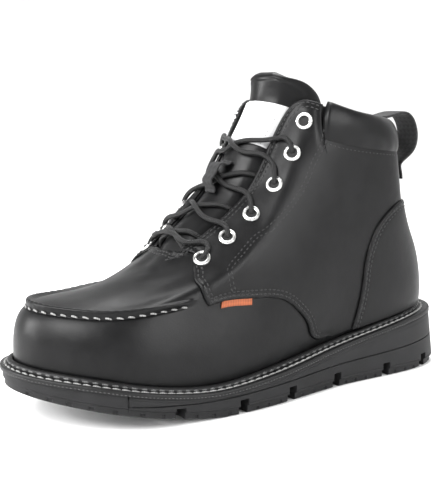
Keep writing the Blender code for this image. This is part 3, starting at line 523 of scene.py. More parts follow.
def step_aside(line, distance):
    """A line of (station, level) moved sideways over the skin by a distance, to its left."""
    station, level = line[:, 0], line[:, 1]
    small = 0.01
    by_station = (bare(station + small, level) - bare(station - small, level)) / (2 * small)
    by_level = (bare(station, level + small) - bare(station, level - small)) / (2 * small)
    along = np.gradient(bare(station, level), axis=0)
    along = unit(along)
    aside = np.cross(normal(station, level), along) * distance
    aa = (by_station * by_station).sum(1)
    bb = (by_level * by_level).sum(1)
    ab = (by_station * by_level).sum(1)
    first = (aside * by_station).sum(1)
    second = (aside * by_level).sum(1)
    det = aa * bb - ab * ab
    station_step = (first * bb - second * ab) / det
    level_step = (second * aa - first * ab) / det
    return np.stack([station + station_step, level + level_step], -1)


def even_stations(count):
    """Stations around the whole outline at even distances along its edge."""
    fine = np.linspace(0, 2 * STATIONS, 1440)
    points = edge(angle(fine))
    points[-1] = points[0]
    run = lengths_along(points)
    return np.interp(np.arange(count) / count * run[-1], run, fine)


class Shape:
    """A mesh gathered from grids of points."""

    def __init__(self):
        self.points = []
        self.faces = []
        self.corners = []
        self.slots = []
        self.count = 0

    def grid(self, points, around=False, slot=0, uv=None):
        """Quads over rows by columns, closed around the columns if asked. uv is rows by columns by two."""
        rows, columns = points.shape[:2]
        index = np.arange(rows * columns).reshape(rows, columns) + self.count
        here = index if around else index[:, :-1]
        beside = np.roll(index, -1, axis=1) if around else index[:, 1:]
        faces = np.stack([here[:-1], beside[:-1], beside[1:], here[1:]], -1).reshape(-1, 4)
        if uv is None:
            corners = np.zeros(faces.shape + (2,))
        else:
            left, right = uv[:, :-1], uv[:, 1:]
            corners = np.stack([left[:-1], right[:-1], right[1:], left[1:]], -2).reshape(-1, 4, 2)
        self.add(points, faces, corners, slot)

    def add(self, points, faces, corners, slot=0):
        """Points, quads as numbers of points in this mesh, and the four UV corners of each quad."""
        self.points.append(points.reshape(-1, 3))
        self.faces.append(faces)
        self.corners.append(corners)
        self.slots.append(np.full(len(faces), slot))
        self.count += points.size // 3

    def rim(self, front, back):
        """Closes the four sides between a front grid and a back grid."""
        for side in (np.s_[0], np.s_[-1], np.s_[:, 0], np.s_[:, -1]):
            self.grid(np.stack([front[side], back[side]]))

    def piece(self, name, looks, smooth=45):
        """The finished object: twin points joined, faces turned outward, shaded smooth by angle."""
        mesh = bpy.data.meshes.new(name)
        faces = np.concatenate(self.faces)
        mesh.from_pydata(np.concatenate(self.points).tolist(), [], faces.tolist())
        layer = mesh.uv_layers.new(name="UVMap")
        layer.data.foreach_set("uv", np.concatenate(self.corners).ravel())
        mesh.polygons.foreach_set("material_index", np.concatenate(self.slots).astype(np.int32))
        for look in looks:
            mesh.materials.append(look)
        work = bmesh.new()
        work.from_mesh(mesh)
        bmesh.ops.remove_doubles(work, verts=work.verts, dist=2e-6)
        bmesh.ops.dissolve_degenerate(work, edges=work.edges, dist=1e-7)
        bmesh.ops.recalc_face_normals(work, faces=work.faces)
        work.to_mesh(mesh)
        work.free()
        mesh.shade_smooth()
        mesh.set_sharp_from_angle(angle=math.radians(smooth))
        thing = bpy.data.objects.new(name, mesh)
        bpy.context.scene.collection.objects.link(thing)
        return thing


def dress(thing, slot, *nodes, fill=None):
    """Tie a piece to the boot's one body and hide the nodes that it stands for; the slot for its finish is
    not used.
    """
    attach(thing, "root")
    if nodes:
        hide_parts(*nodes)


class Wire:
    """A shader socket that does arithmetic: each operator adds a Math node to its material."""

    def __init__(self, look, socket):
        self.look = look
        self.socket = socket

    def math(self, operation, *others):
        values = dict(enumerate((self,) + others))
        return self.look.node("ShaderNodeMath", {"operation": operation}, values)

    def __add__(self, other):
        return self.math("ADD", other)

    def __radd__(self, other):
        return self.math("ADD", other)

    def __sub__(self, other):
        return self.math("SUBTRACT", other)

    def __rsub__(self, other):
        return self.look.node("ShaderNodeMath", {"operation": "SUBTRACT"}, {0: other, 1: self})

    def __mul__(self, other):
        return self.math("MULTIPLY", other)

    def __rmul__(self, other):
        return self.math("MULTIPLY", other)

    def sin(self):
        return self.math("SINE")

    def size(self):
        return self.math("ABSOLUTE")

    def most(self, other):
        return self.math("MAXIMUM", other)

    def soft_step(self, low, high):
        """0 below low, 1 above high, and a smooth rise between."""
        settings = {"interpolation_type": "SMOOTHSTEP"}
        values = {"Value": self, "From Min": low, "From Max": high}
        return self.look.node("ShaderNodeMapRange", settings, values)


class Look:
    """A material of this boot: its Principled shader, and one method that makes any other node."""

    def __init__(self, name, colour, roughness, metallic=0.0, **sockets):
        self.material = bpy.data.materials.new(name)
        self.material.use_nodes = True
        self.material.diffuse_color = (*colour, 1)
        self.tree = self.material.node_tree
        self.shader = self.tree.nodes["Principled BSDF"]
        self.set("Base Color", (*colour, 1))
        self.set("Roughness", roughness)
        self.set("Metallic", metallic)
        for socket, value in sockets.items():
            self.set(socket.replace("_", " "), value)

    def feed(self, socket, value):
        if isinstance(value, Wire):
            self.tree.links.new(value.socket, socket)
        else:
            socket.default_value = value

    def set(self, socket, value):
        self.feed(self.shader.inputs[socket], value)

    def node(self, kind, settings=None, values=None, output=0):
        made = self.tree.nodes.new(kind)
        for key, value in (settings or {}).items():
            setattr(made, key, value)
        for key, value in (values or {}).items():
            self.feed(made.inputs[key], value)
        return Wire(self, made.outputs[output])

    def place(self):
        return self.node("ShaderNodeTexCoord", output="Object")

    def uv(self):
        """The two parts of the piece's own UV map."""
        both = self.node("ShaderNodeUVMap", {"uv_map": "UVMap"})
        split = self.node("ShaderNodeSeparateXYZ", None, {"Vector": both})
        node = split.socket.node
        return Wire(self, node.outputs["X"]), Wire(self, node.outputs["Y"])

    def noise(self, where, scale, detail=2.0, roughness=0.5):
        values = {"Vector": where, "Scale": scale, "Detail": detail, "Roughness": roughness}
        return self.node("ShaderNodeTexNoise", None, values)

    def cells(self, where, scale):
        return self.node("ShaderNodeTexVoronoi", None, {"Vector": where, "Scale": scale})

    def mix(self, share, low, high):
        """A colour between two colours."""
        values = {0: share, 6: (*low, 1), 7: (*high, 1)}
        return self.node("ShaderNodeMix", {"data_type": "RGBA"}, values, output=2)

    def bump(self, height, distance, strength=1.0, under=None):
        values = {"Height": height, "Distance": distance, "Strength": strength}
        if under is not None:
            values["Normal"] = under
        return self.node("ShaderNodeBump", None, values)


def shade(colour, times):
    """A colour made lighter or darker."""
    return tuple(min(1.0, part * times) for part in colour)


def leather(name, colour, roughness, grain=1.0):
    """Smooth full-grain leather: cell grain, fine pores, soft waves and a slightly uneven polish."""
    look = Look(name, colour, roughness, Coat_Roughness=0.32, Specular_IOR_Level=0.15)
    place = look.place()
    cells = look.cells(place, 900)
    pores = look.noise(place, 2400, 3)
    waves = look.noise(place, 30, 3, 0.55)
    patches = look.noise(place, 75, 4, 0.6)
    look.set("Base Color", look.mix(patches.soft_step(0.3, 0.75), shade(colour, 0.72), shade(colour, 1.45)))
    look.set("Roughness", roughness + (patches - 0.5) * 0.22 + (pores - 0.5) * 0.10)
    look.set("Coat Weight", 0.04 + (waves - 0.5) * 0.06)
    soft = look.bump(waves, 1.6 * MM, 0.35)
    look.set("Normal", look.bump(cells * 0.5 + pores * 0.8, 0.10 * MM * grain, 0.55, soft))
    return look.material


def rubber(name, colour, roughness):
    """Matt moulded rubber: a fine skin texture and faint scuffs."""
    look = Look(name, colour, roughness, Specular_IOR_Level=0.22)
    place = look.place()
    fine = look.noise(place, 1500, 3)
    broad = look.noise(place, 60, 4, 0.6)
    look.set("Base Color", look.mix(broad.soft_step(0.35, 0.8), shade(colour, 0.8), shade(colour, 1.5)))
    look.set("Roughness", roughness + (broad - 0.5) * 0.2 + (fine - 0.5) * 0.12)
    look.set("Normal", look.bump(fine + broad * 0.6, 0.14 * MM, 0.6))
    return look.material


def webbing(name, colour, rib=900.0, across=1500.0):
    """Woven webbing over the piece's UV map in metres: slanted ribs crossed by the weft."""
    look = Look(name, colour, 0.8, Sheen_Weight=0.04, Sheen_Roughness=0.5, Specular_IOR_Level=0.3)
    along, beside = look.uv()
    ribs = (along * rib * 2 + (beside * across).sin() * 0.9).sin() * 0.5 + 0.5
    picks = (beside * across + (along * rib).sin() * 0.6).sin() * 0.5 + 0.5
    weave = ribs * 0.7 + picks * 0.5
    fuzz = look.noise(look.place(), 2600, 2)
    look.set("Base Color", look.mix(weave, shade(colour, 0.35), shade(colour, 1.9)))
    look.set("Roughness", 0.62 + fuzz * 0.3)
    look.set("Normal", look.bump(weave + fuzz * 0.3, 0.16 * MM, 0.8))
    return look.material


def braid(name, colour):
    """Round braided lace over a UV map of length in metres and turn: two crossing strand sets, with light
    specks painted on the raised crossings as painted glints.
    """
    look = Look(name, colour, 0.55, Sheen_Weight=0.03, Sheen_Roughness=0.4, Specular_IOR_Level=0.3)
    along, turn = look.uv()
    one = (along * 2600 + turn * 12.566).sin()
    two = (along * 2600 - turn * 12.566).sin()
    strands = one.size().most(two.size())
    over = (one * two).soft_step(-0.3, 0.5)
    # painted glints: sparse light specks, only on the raised crossings of the strands
    painted_glint = look.noise(look.place(), 900, 2).soft_step(0.56, 0.72)
    look.set("Base Color", look.mix(painted_glint * over * 0.8, shade(colour, 0.6), shade(colour, 7.0)))
    look.set("Roughness", 0.62 - over * 0.22)
    look.set("Normal", look.bump(strands + over * 0.4, 0.4 * MM, 0.9))
    return look.material


def thread(name, colour, roughness=0.6):
    """Twisted sewing thread: slanting ply lines and small dark flecks."""
    look = Look(name, colour, roughness, Sheen_Weight=0.03, Specular_IOR_Level=0.3)
    along, turn = look.uv()
    ply = (along * 5200 + turn * 6.283).sin() * 0.5 + 0.5
    dirt = look.noise(look.place(), 420, 3).soft_step(0.42, 0.7)
    look.set("Base Color", look.mix(ply * 0.5 + dirt * 0.4, colour, shade(colour, 0.42)))
    look.set("Normal", look.bump(ply, 0.16 * MM, 0.8))
    return look.material


def woven_patch(name, colour, rib, across, dark=0.86):
    """A bare woven patch over a UV map in metres: fine ribs, crossed, with a faint unevenness."""
    look = Look(name, colour, 0.75, Sheen_Weight=0.1)
    along, beside = look.uv()
    ribs = (along * rib).sin() * 0.5 + 0.5
    picks = (beside * across).sin() * 0.5 + 0.5
    cloud = look.noise(look.place(), 160, 3)
    weave = ribs * 0.6 + picks * 0.4
    look.set("Base Color", look.mix(weave * 0.6 + cloud * 0.4, shade(colour, dark), colour))
    look.set("Normal", look.bump(weave, 0.12 * MM, 0.6))
    return look.material


def metal(name, colour):
    """Nickel plate, brightly worn, with hairline scratches."""
    look = Look(name, colour, 0.24, 1.0)
    place = look.place()
    scratch = look.noise(place, 1800, 3, 0.7)
    tarnish = look.noise(place, 500, 3)
    look.set("Base Color", look.mix(tarnish.soft_step(0.45, 0.75), colour, shade(colour, 0.55)))
    look.set("Roughness", 0.16 + scratch * 0.22)
    look.set("Normal", look.bump(scratch, 0.05 * MM, 0.4))
    return look.material


def painted_hole_shade(name, colour, roughness=0.8):
    """Painted shade: a near-black dull finish with a faint fuzz, for the disc that stands in for the shadow
    down each eyelet's hole.
    """
    look = Look(name, colour, roughness)
    fuzz = look.noise(look.place(), 900, 2)
    look.set("Roughness", roughness + (fuzz - 0.5) * 0.2)
    look.set("Normal", look.bump(fuzz, 0.2 * MM, 0.5))
    return look.material


def lining(name, colour):
    """Knitted lining: small cells with a soft nap."""
    look = Look(name, colour, 0.9, Sheen_Weight=0.06, Sheen_Roughness=0.5, Specular_IOR_Level=0.3)
    place = look.place()
    knit = look.cells(place, 700)
    fuzz = look.noise(place, 2500, 2)
    look.set("Base Color", look.mix(knit.soft_step(0.1, 0.6), shade(colour, 1.5), shade(colour, 0.5)))
    look.set("Normal", look.bump(knit + fuzz * 0.4, 0.4 * MM, 0.8))
    return look.material


def board(name, colour):
    """Footbed: dark foam with a fine dimpled cover."""
    look = Look(name, colour, 0.88)
    place = look.place()
    dimples = look.cells(place, 420)
    look.set("Base Color", look.mix(dimples.soft_step(0.1, 0.5), shade(colour, 0.6), shade(colour, 1.2)))
    look.set("Normal", look.bump(dimples, 0.4 * MM, 0.7))
    return look.material


def floor_look(name, colour):
    """Plain backdrop, very faintly mottled."""
    look = Look(name, colour, 0.7)
    mottle = look.noise(look.place(), 3, 2)
    look.set("Base Color", look.mix(mottle, shade(colour, 0.985), shade(colour, 1.01)))
    return look.material


def colour_of(name):
    """A colour as the panel has it."""
    return tuple(getattr(bpy.context.scene.boot_colours, name))


def size_of(name):
    """A size as the panel has it."""
    return getattr(bpy.context.scene.boot_sizes, name)


LOOKS = {
    # name: (maker, colour property, further values)
    "vamp leather": (leather, "leather", (0.40,)),
    "quarter leather": (leather, "leather", (0.42,)),
    "collar leather": (leather, "leather", (0.38, 0.8)),
    "tread rubber": (rubber, "rubber", (0.58,)),
    "wedge rubber": (rubber, "rubber", (0.55,)),
    "welt rubber": (rubber, "welt", (0.46,)),
    "loop webbing": (webbing, "webbing", ()),
    "lace braid": (braid, "lace", ()),
    "black thread": (thread, "black_thread", (0.45,)),
    "pale thread": (thread, "pale_thread", (0.6,)),
    "grey thread": (thread, "grey_thread", (0.6,)),
    "label cloth": (woven_patch, "label", (5200.0, 4200.0)),
    "tag cloth": (woven_patch, "tag", (3600.0, 2600.0, 0.35)),
    "eyelet nickel": (metal, "nickel", ()),
    # painted shade: the near-black disc inside the eyelets' holes
    "eyelet hole": (painted_hole_shade, "hole", ()),
    "lining knit": (lining, "lining", ()),
    "footbed": (board, "lining", ()),
    "studio floor": (floor_look, "floor", ()),
}


def look(name):
    """A named finish, made the first time it is asked for."""
    made = bpy.data.materials.get(name)
    if made is None:
        maker, colour, values = LOOKS[name]
        made = maker(name, colour_of(colour), *values)
    return made


def distance_to(points, border):
    """Distance of each point of a grid to the nearest point of a border."""
    flat = points.reshape(-1, 3)
    nearest = np.empty(len(flat))
    for start in range(0, len(flat), 4000):
        part = flat[start:start + 4000]
        nearest[start:start + 4000] = ((part[:, None] - border[None]) ** 2).sum(2).min(1)
    return np.sqrt(nearest).reshape(points.shape[:2])


def rounded(distance, radius):
    """Share of the full thickness near an edge: a quarter circle over the radius."""
    rest = 1 - np.clip(distance / radius, 0, 1)
    return np.sqrt(np.clip(1 - rest * rest, 0, 1))


def eyelet_dent(points):
    """How far the leather is pulled in around the eyelets: a bell over the distance from each."""
    dent = np.zeros(points.shape[:2])
    for side in (1, -1):
        for station, level in EYELETS:
            centre = bare(mirrored(station, side), level)
            off = np.linalg.norm(points - centre, axis=-1)
            dent = dent + 0.55 * MM * np.exp(-(off / (7.5 * MM)) ** 2)
    return dent


def overlay(name, station, level, low, free, look_name, channel=3.3 * MM):
    """A leather panel laid over the skin: even thickness, round free edges and a soft sewn channel."""
    flat = bare(station, level)
    away = distance_to(flat, resample_border(free(flat)))
    dent = eyelet_dent(flat)
    lift = OVERLAY * rounded(away, 1.1 * MM) - 0.28 * MM * np.exp(-((away - channel) / (1.5 * MM)) ** 2)
    swell = 0.25 * MM * (1 - np.exp(-((away / (9 * MM)) ** 2)))
    top = low + np.maximum(lift, 0.04 * MM * (away > 0)) + swell - dent
    front = skin(station, level, top)
    back = skin(station, level, np.full(station.shape, low) - dent)
    shape = Shape()
    shape.grid(front)
    shape.grid(back)
    shape.rim(front, back)
    return shape.piece(name, [look(look_name)])


def resample_border(lines):
    """Points every 0.5 mm along several lines."""
    out = []
    for line in lines:
        run = lengths_along(line)
        out.append(resample(line, np.arange(0, run[-1], 0.5 * MM)))
        out.append(line[-1:])
    return np.concatenate(out)


def between(foot, top, shares):
    """Stations and levels of a grid laid from a foot line to a top line."""
    shares = np.asarray(shares)[:, None]
    station = foot[:, 0] + (top[:, 0] - foot[:, 0]) * shares
    level = foot[:, 1] + (top[:, 1] - foot[:, 1]) * shares
    return station, level


def level_line(first, last, level, count):
    """A line of (station, level) that stays at one level."""
    return np.stack([np.linspace(first, last, count), np.full(count, level)], -1)


def edge_shares(rows, near=(0.0, 0.003, 0.007, 0.012, 0.02, 0.03, 0.042)):
    """Shares from 0 to 1, closer together at both ends."""
    near = np.array(near)
    return np.concatenate([near, np.linspace(near[-1] * 1.4, 1 - near[-1] * 1.4, rows), 1 - near[::-1]])


def stitch_run(shape, line, outward, pitch, long, thick, slant=0.0, sink=0.75):
    """Dashes of thread along a line. Each is a rod whose ends dip in and close to a point."""
    total = lengths_along(line)[-1]
    count = max(1, int(round(total / pitch)))
    centres = (np.arange(count) + 0.5) * total / count
    step = np.array((-1, -0.7, 0, 0.7, 1))
    where = centres[:, None] + step * long / 2
    spots = resample(line, where.ravel()).reshape(count, len(step), 3)
    out = resample_by(outward, lengths_along(line), where.ravel()).reshape(count, len(step), 3)
    out = unit(out)
    ahead = np.gradient(spots, axis=1)
    ahead = ahead / np.maximum(np.linalg.norm(ahead, axis=-1, keepdims=True), 1e-9)
    aside = np.cross(ahead, out)
    thin = thick * np.sqrt(np.clip(1 - step ** 4, 0, 1))
    arch = -sink * thick * step ** 2
    spots = spots + out * arch[:, None] + aside * (slant * step * long / 2)[:, None]
    sides = 6
    turns = np.arange(sides + 1) / sides
    turned = 2 * math.pi * turns[:-1]
    ring = (
        spots[:, :, None]
        + aside[:, :, None] * (thin[:, None] * np.cos(turned))[..., None]
        + out[:, :, None] * (thin[:, None] * np.sin(turned))[..., None]
    )
    rows = len(step)
    index = np.arange(count * rows * sides).reshape(count, rows, sides) + shape.count
    beside = np.roll(index, -1, axis=2)
    faces = np.stack([index[:, :-1], beside[:, :-1], beside[:, 1:], index[:, 1:]], -1).reshape(-1, 4)
    uv = np.zeros((count, rows, sides + 1, 2))
    uv[..., 0] = where[:, :, None]
    uv[..., 1] = turns
    corners = np.stack([uv[:, :-1, :-1], uv[:, :-1, 1:], uv[:, 1:, 1:], uv[:, 1:, :-1]], -2).reshape(-1, 4, 2)
    shape.add(ring, faces, corners)


def sew(shape, line, lift, pitch=3.1 * MM, long=None, thick=0.44 * MM, slant=0.0, sides=(1, -1)):
    """Stitches along a line of (station, level) on the outer side, and mirrored on the inner side."""
    if long is None:
        long = size_of("stitch")
    for side in sides:
        station = mirrored(line[:, 0], side)
        spots = skin(station, line[:, 1], np.full(len(line), lift))
        stitch_run(shape, spots, normal(station, line[:, 1]), pitch, long, thick, slant * side)


def even_curve(route, spacing):
    """A smooth curve through a route's points, read at even distances: distances, points, headings."""
    route = np.array(route)
    knots = lengths_along(route)
    fine = spline(knots, route, np.linspace(0, knots[-1], 20 * len(route)))
    total = lengths_along(fine)[-1]
    where = np.linspace(0, total, int(total / spacing) + 1)
    fine = resample(fine, where)
    return where, fine, unit(np.gradient(fine, axis=0))


def tube(shape, route, radius, spacing=0.9 * MM, sides=14):
    """A round cord along a smooth curve through its route's points, its ends drawn to a point."""
    where, fine, ahead = even_curve(route, spacing)
    beside = np.cross(ahead, (0, -0.6, 0.8))
    beside = unit(beside)
    above = np.cross(beside, ahead)
    turns = np.arange(sides + 1) / sides
    turned = 2 * math.pi * turns[:-1]
    wide = np.full(len(fine), radius)
    wide[0] = wide[-1] = 0.0
    wide[1] = wide[-2] = radius * 0.8
    round_ways = beside[:, None] * np.cos(turned)[:, None] + above[:, None] * np.sin(turned)[:, None]
    ring = fine[:, None] + round_ways * wide[:, None, None]
    uv = np.zeros((len(fine), sides + 1, 2))
    uv[..., 0] = where[:, None]
    uv[..., 1] = turns
    shape.grid(ring, around=True, uv=uv)


def strip(shape, path, width, thickness, spacing=0.8 * MM):
    """Webbing: a smooth path in the middle plane, widened to both sides, with round selvedges."""
    where, fine, ahead = even_curve(path, spacing)
    aside = np.stack([ahead[:, 1], -ahead[:, 0]], -1)
    turns = np.linspace(0, 2 * math.pi, 41)[:-1]
    across = np.sign(np.cos(turns)) * np.abs(np.cos(turns)) ** 0.55 * width / 2
    deep = np.sign(np.sin(turns)) * np.abs(np.sin(turns)) ** 0.35 * thickness / 2
    points = np.zeros((len(fine), len(turns), 3))
    points[..., 0] = across + MIDDLE_X
    points[..., 1:] = fine[:, None] + aside[:, None] * deep[:, None]
    around_uv = np.append(across, across[0])
    uv = np.zeros((len(fine), len(turns) + 1, 2))
    uv[..., 0] = where[:, None]
    uv[..., 1] = around_uv
    shape.grid(points, around=True, uv=uv)
    for end in (points[0], points[-1]):
        middle = np.broadcast_to(end.mean(0), end.shape)
        shape.grid(np.stack([end, middle]), around=True)


def notch(place, at, width, soft):
    """1 within a notch's width and 0 outside, its walls soft. place and at are shares of LENGTH."""
    return 1 - smooth_step(np.abs(place - at) * LENGTH, width / 2 - soft, width / 2 + soft)


def outsole_side(station, tops, rows):
    """Insets and heights up the outsole's side: tread step, strip line, raised panel, notches, nicks."""
    place = share_from_heel(station)
    ground = sole_bottom(station)
    height = ground + (tops - ground) * rows[:, None]
    inset = rake(station) * height / sole_top(station)
    above = height - ground
    inset = inset + TREAD_STEP * (1 - smooth_step(above, TREAD_LINE - 0.3 * MM, TREAD_LINE + 0.3 * MM))
    inset = inset + 1.2 * MM * (1 - smooth_step(above, 0.0, 1.1 * MM)) ** 2
    panel = np.interp(place, PANEL_EDGE[:, 0], PANEL_EDGE[:, 1]) * MM
    inset = inset + PANEL_STEP * (1 - smooth_step(height, panel - 0.25 * MM, panel + 0.35 * MM))
    strip_line = np.abs(above - (TREAD_LINE + 1.6 * MM))
    inset = inset + 0.35 * MM * np.exp(-(strip_line / (0.35 * MM)) ** 2) * (place < 0.6)
    for at, tall in LUGS:
        reach = ground + tall * (parting(station) - ground)
        slope = 1 - smooth_step(height, reach - 0.8 * MM, reach + 0.8 * MM)
        inset = np.maximum(inset, LUG_DEPTH * notch(place, at, LUG_GAP, 0.35 * MM) * slope)
    for at in NICKS:
        slope = 1 - smooth_step(above, NICK_HEIGHT - 0.5 * MM, NICK_HEIGHT + 0.5 * MM)
        inset = np.maximum(inset, NICK_DEPTH * notch(place, at, NICK_WIDTH, 0.4 * MM) * slope)
    return inset, height


def wedge_side(station, tops, rows):
    """The wedge's side: a fine parting groove below, a soft roll at its top and one moulded line."""
    low = parting(station) + 0.15 * MM
    height = low + (tops - low) * rows[:, None]
    inset = rake(station) * height / sole_top(station)
    inset = inset + 0.5 * MM * np.exp(-((height - low) / (0.5 * MM)) ** 2)
    inset = inset + 0.5 * MM * np.exp(-((tops - height) / (0.8 * MM)) ** 2)
    line = low + (tops - low) * 0.93
    inset = inset + 0.3 * MM * np.exp(-((height - line + 1.5 * MM) / (0.35 * MM)) ** 2)
    front = 1 - smooth_step((WEDGE_END - share_from_heel(station)) * LENGTH, 0.0, 1.2 * MM)
    return inset + 0.7 * MM * front ** 2, height


def outsole_top(station):
    """The outsole's top: the parting line under the wedge, the welt's foot in front of it."""
    behind = share_from_heel(station) < WEDGE_END
    return np.where(behind, parting(station), sole_top(station) - WELT_THICKNESS - GAP)


def wedge_top(station):
    """The wedge's top, close under the welt."""
    return sole_top(station) - WELT_THICKNESS - GAP / 2


def carve_tread(points, station):
    """The tread under the boot: cross grooves at the notches, finer waves and sipes between them."""
    place = share_from_heel(station)
    groove = np.zeros(points.shape[:2])
    for at, _ in LUGS:
        groove = np.maximum(groove, GROOVE_DEPTH * notch(place, at, LUG_GAP, 0.4 * MM)[:, None])
    across = points[..., 0]
    wave = np.abs(((points[..., 1] + 2.2 * MM * np.cos(across * 330)) / (9.6 * MM)) % 1 - 0.5)
    sipe = 1.3 * MM * (1 - smooth_step(wave, 0.06, 0.14))
    half = (across.max(1) - across.min(1))[:, None] / 2
    middle = (across.max(1) + across.min(1))[:, None] / 2
    inside = smooth_step(half - np.abs(across - middle), 6 * MM, 8 * MM)
    points[..., 2] += np.maximum(groove, sipe * inside)


def sole_loft(outer, rows, top, side, across, carve=None):
    """Closed slices across the sole: up the outer side, over the top, down the inner side and under."""
    columns = []
    for station in (outer, 2 * STATIONS - outer):
        inset, height = side(station, top(station), rows)
        columns.append(np.concatenate([outline(station[None], inset), height[..., None]], -1))
    first, second = (column.transpose(1, 0, 2) for column in columns)
    shares = np.linspace(0, 1, across)[1:-1, None]
    over = first[:, -1:] + (second[:, -1:] - first[:, -1:]) * shares
    under = second[:, :1] + (first[:, :1] - second[:, :1]) * shares
    if carve is not None:
        full = np.concatenate([second[:, :1], under, first[:, :1]], axis=1)
        carve(full, outer)
        under = full[:, 1:-1]
        first[:, 0] = full[:, -1]
        second[:, 0] = full[:, 0]
    return np.concatenate([first, over, second[:, ::-1], under], axis=1)


def make_sole_layers():
    """Outsole and midsole as lofts of slices across. The wedge ends in a flat front."""
    outer = np.unique(np.concatenate([np.linspace(0, STATIONS, 380), around_marks()]))
    rows = np.unique(np.concatenate([np.linspace(0, 1, 20), (0.03, 0.08, 0.13), np.linspace(0.2, 0.62, 18)]))
    shape = Shape()
    shape.grid(sole_loft(outer, rows, outsole_top, outsole_side, 26, carve_tread), around=True)
    outsole = shape.piece("outsole_tread", [look("tread rubber")], 35)
    dress(outsole, "tread_rubber", "outsole")

    outer = outer[share_from_heel(outer) <= WEDGE_END]
    rows = np.unique(np.concatenate([np.linspace(0, 1, 20), (0.02, 0.97)]))
    across = 10
    lofted = sole_loft(outer, rows, wedge_top, wedge_side, across)
    shape = Shape()
    shape.grid(lofted, around=True)
    count = len(rows)
    down = count + across - 2
    shape.grid(np.stack([lofted[-1, :count], lofted[-1, down:down + count][::-1]]))
    midsole = shape.piece("midsole_wedge", [look("wedge rubber")], 35)
    dress(midsole, "wedge_rubber", "midsole")


def around_marks():
    """Stations on both sides of every notch, so that its walls stay steep."""
    fine = np.linspace(0, STATIONS, 2000)
    places = share_from_heel(fine)
    marks = []
    for at, _ in LUGS:
        for off in (-0.5, -0.4, 0.4, 0.5):
            marks.append(np.interp(at + off * (LUG_GAP + 0.7 * MM) / LENGTH, places, fine))
    for at in NICKS:
        for off in (-0.65, -0.3, 0.3, 0.65):
            marks.append(np.interp(at + off * NICK_WIDTH / LENGTH, places, fine))
    return np.clip(np.array(marks), 0, STATIONS)


def smooth_step(value, low, high):
    """0 below low, 1 above high, and a smooth rise between."""
    share = np.clip((value - low) / (high - low), 0, 1)
    return share * share * (3 - 2 * share)


def welt_frames(station):
    """What the welt's profile needs: lean, flat width, foot height and the bead's level."""
    top = sole_top(station)
    lean = rake(station)
    feather = around(SOLE_ROWS[:, 5], station) * BALL_WIDTH
    flat = feather - lean - SKIN_GAP - BEAD_WIDTH
    wall = levels(station)
    bead_level = (WELT_THICKNESS - GAP + BEAD_HEIGHT) / (wall[1] - wall[0])[:, 2]
    return top, lean, flat, bead_level


def welt_line(station, share, height):
    """Points along the welt's flat top at a share of its width and a height above its foot."""
    top, lean, flat, _ = welt_frames(station)
    spots = outline(station, lean + flat * share)
    return np.concatenate([spots, (top - WELT_THICKNESS + height)[:, None]], -1)


def bead_line(station, share, lift):
    """Points on the bead: a share of its level, lifted off the upper."""
    level = welt_frames(station)[3] * share
    return bare(station, level) + normal(station, level) * lift


def make_welt():
    """The welt's ring: profile points from its foot over the flat, a stitch groove and the ribbed bead."""
    station = even_stations(760)
    run = np.arange(len(station)) / len(station)
    rib = np.abs((run * 170) % 1 - 0.5) * 2
    rib = 1 - smooth_step(rib, 0.0, 0.22)
    side_rib = 0.5 + 0.5 * np.cos(run * 2 * math.pi * 330)
    top, lean, flat, _ = welt_frames(station)
    foot = top - WELT_THICKNESS

    def on_edge(inset, height):
        spots = outline(station, lean + np.broadcast_to(inset, station.shape))
        return np.concatenate([spots, (foot + height)[:, None]], -1)

    rings = [
        on_edge(2 * MM, 0.05 * MM),
        on_edge(-0.35 * MM, 0.0),
        on_edge(-WELT_OVERHANG + 0.12 * MM * side_rib, 0.3 * MM),
        on_edge(-WELT_OVERHANG + 0.05 * MM, 0.8 * MM),
        on_edge(-WELT_OVERHANG, 1.5 * MM),
        on_edge(-WELT_OVERHANG + 0.05 * MM, 2.2 * MM),
        on_edge(-0.45 * MM, 2.7 * MM),
        on_edge(-0.1 * MM, 2.95 * MM),
        on_edge(flat * 0.12, 3.02 * MM),
        on_edge(flat * 0.30, 3.0 * MM),
        on_edge(flat * STITCH_SHARE - 0.95 * MM, 2.95 * MM),
        on_edge(flat * STITCH_SHARE - 0.55 * MM, 2.6 * MM),
        on_edge(flat * STITCH_SHARE, 2.42 * MM),
        on_edge(flat * STITCH_SHARE + 0.55 * MM, 2.6 * MM),
        on_edge(flat * STITCH_SHARE + 0.95 * MM, 2.95 * MM),
        on_edge(flat * 0.96, 3.0 * MM),
    ]
    beads = (
        # share of the bead's level, lift in mm
        (0.50, 3.78), (0.62, 3.84), (0.76, 3.75), (0.87, 3.40), (0.95, 2.80), (0.99, 2.05), (0.97, 1.30),
        (0.90, 0.75), (0.75, 0.42),
    )
    for share, lift in beads:
        grooved = lift * MM - 0.42 * MM * rib * (1 if lift > 1.5 else 0)
        rings.append(bead_line(station, share, np.asarray(grooved)[..., None] * np.ones((len(station), 1))))
    rings.append(bead_line(station, 0.05, 0.42 * MM))
    rings[-1][:, 2] = foot + 0.05 * MM
    rings.append(rings[0])
    shape = Shape()
    shape.grid(np.array(rings), around=True)
    welt = shape.piece("welt_rim", [look("welt rubber")], 50)
    dress(welt, "welt", "welt")

    pale = Shape()
    loop = np.append(station, station[:1] + 2 * STATIONS)
    spots = welt_line(loop, STITCH_SHARE, 2.72 * MM)
    up = np.zeros_like(spots)
    up[:, 2] = 1
    stitch_run(pale, spots, up, 5.4 * MM, 5.8 * MM, 0.78 * MM, 0.17, 0.7)
    welt_thread = pale.piece("welt_thread", [look("pale thread")], 60)
    dress(welt_thread, "welt")

    grey = Shape()
    out = normal(loop, np.full(len(loop), 0.3))
    stitch_run(grey, bead_line(loop, 0.72, 3.45 * MM), out, 5.4 * MM, 5.0 * MM, 0.72 * MM, 0.0, 0.8)
    stitch_run(grey, welt_line(loop, -0.16, 0.85 * MM), out, 2.3 * MM, 1.3 * MM, 0.22 * MM, 0.0, 0.3)
    bead_thread = grey.piece("bead_thread", [look("grey thread")], 60)
    dress(bead_thread, "welt")


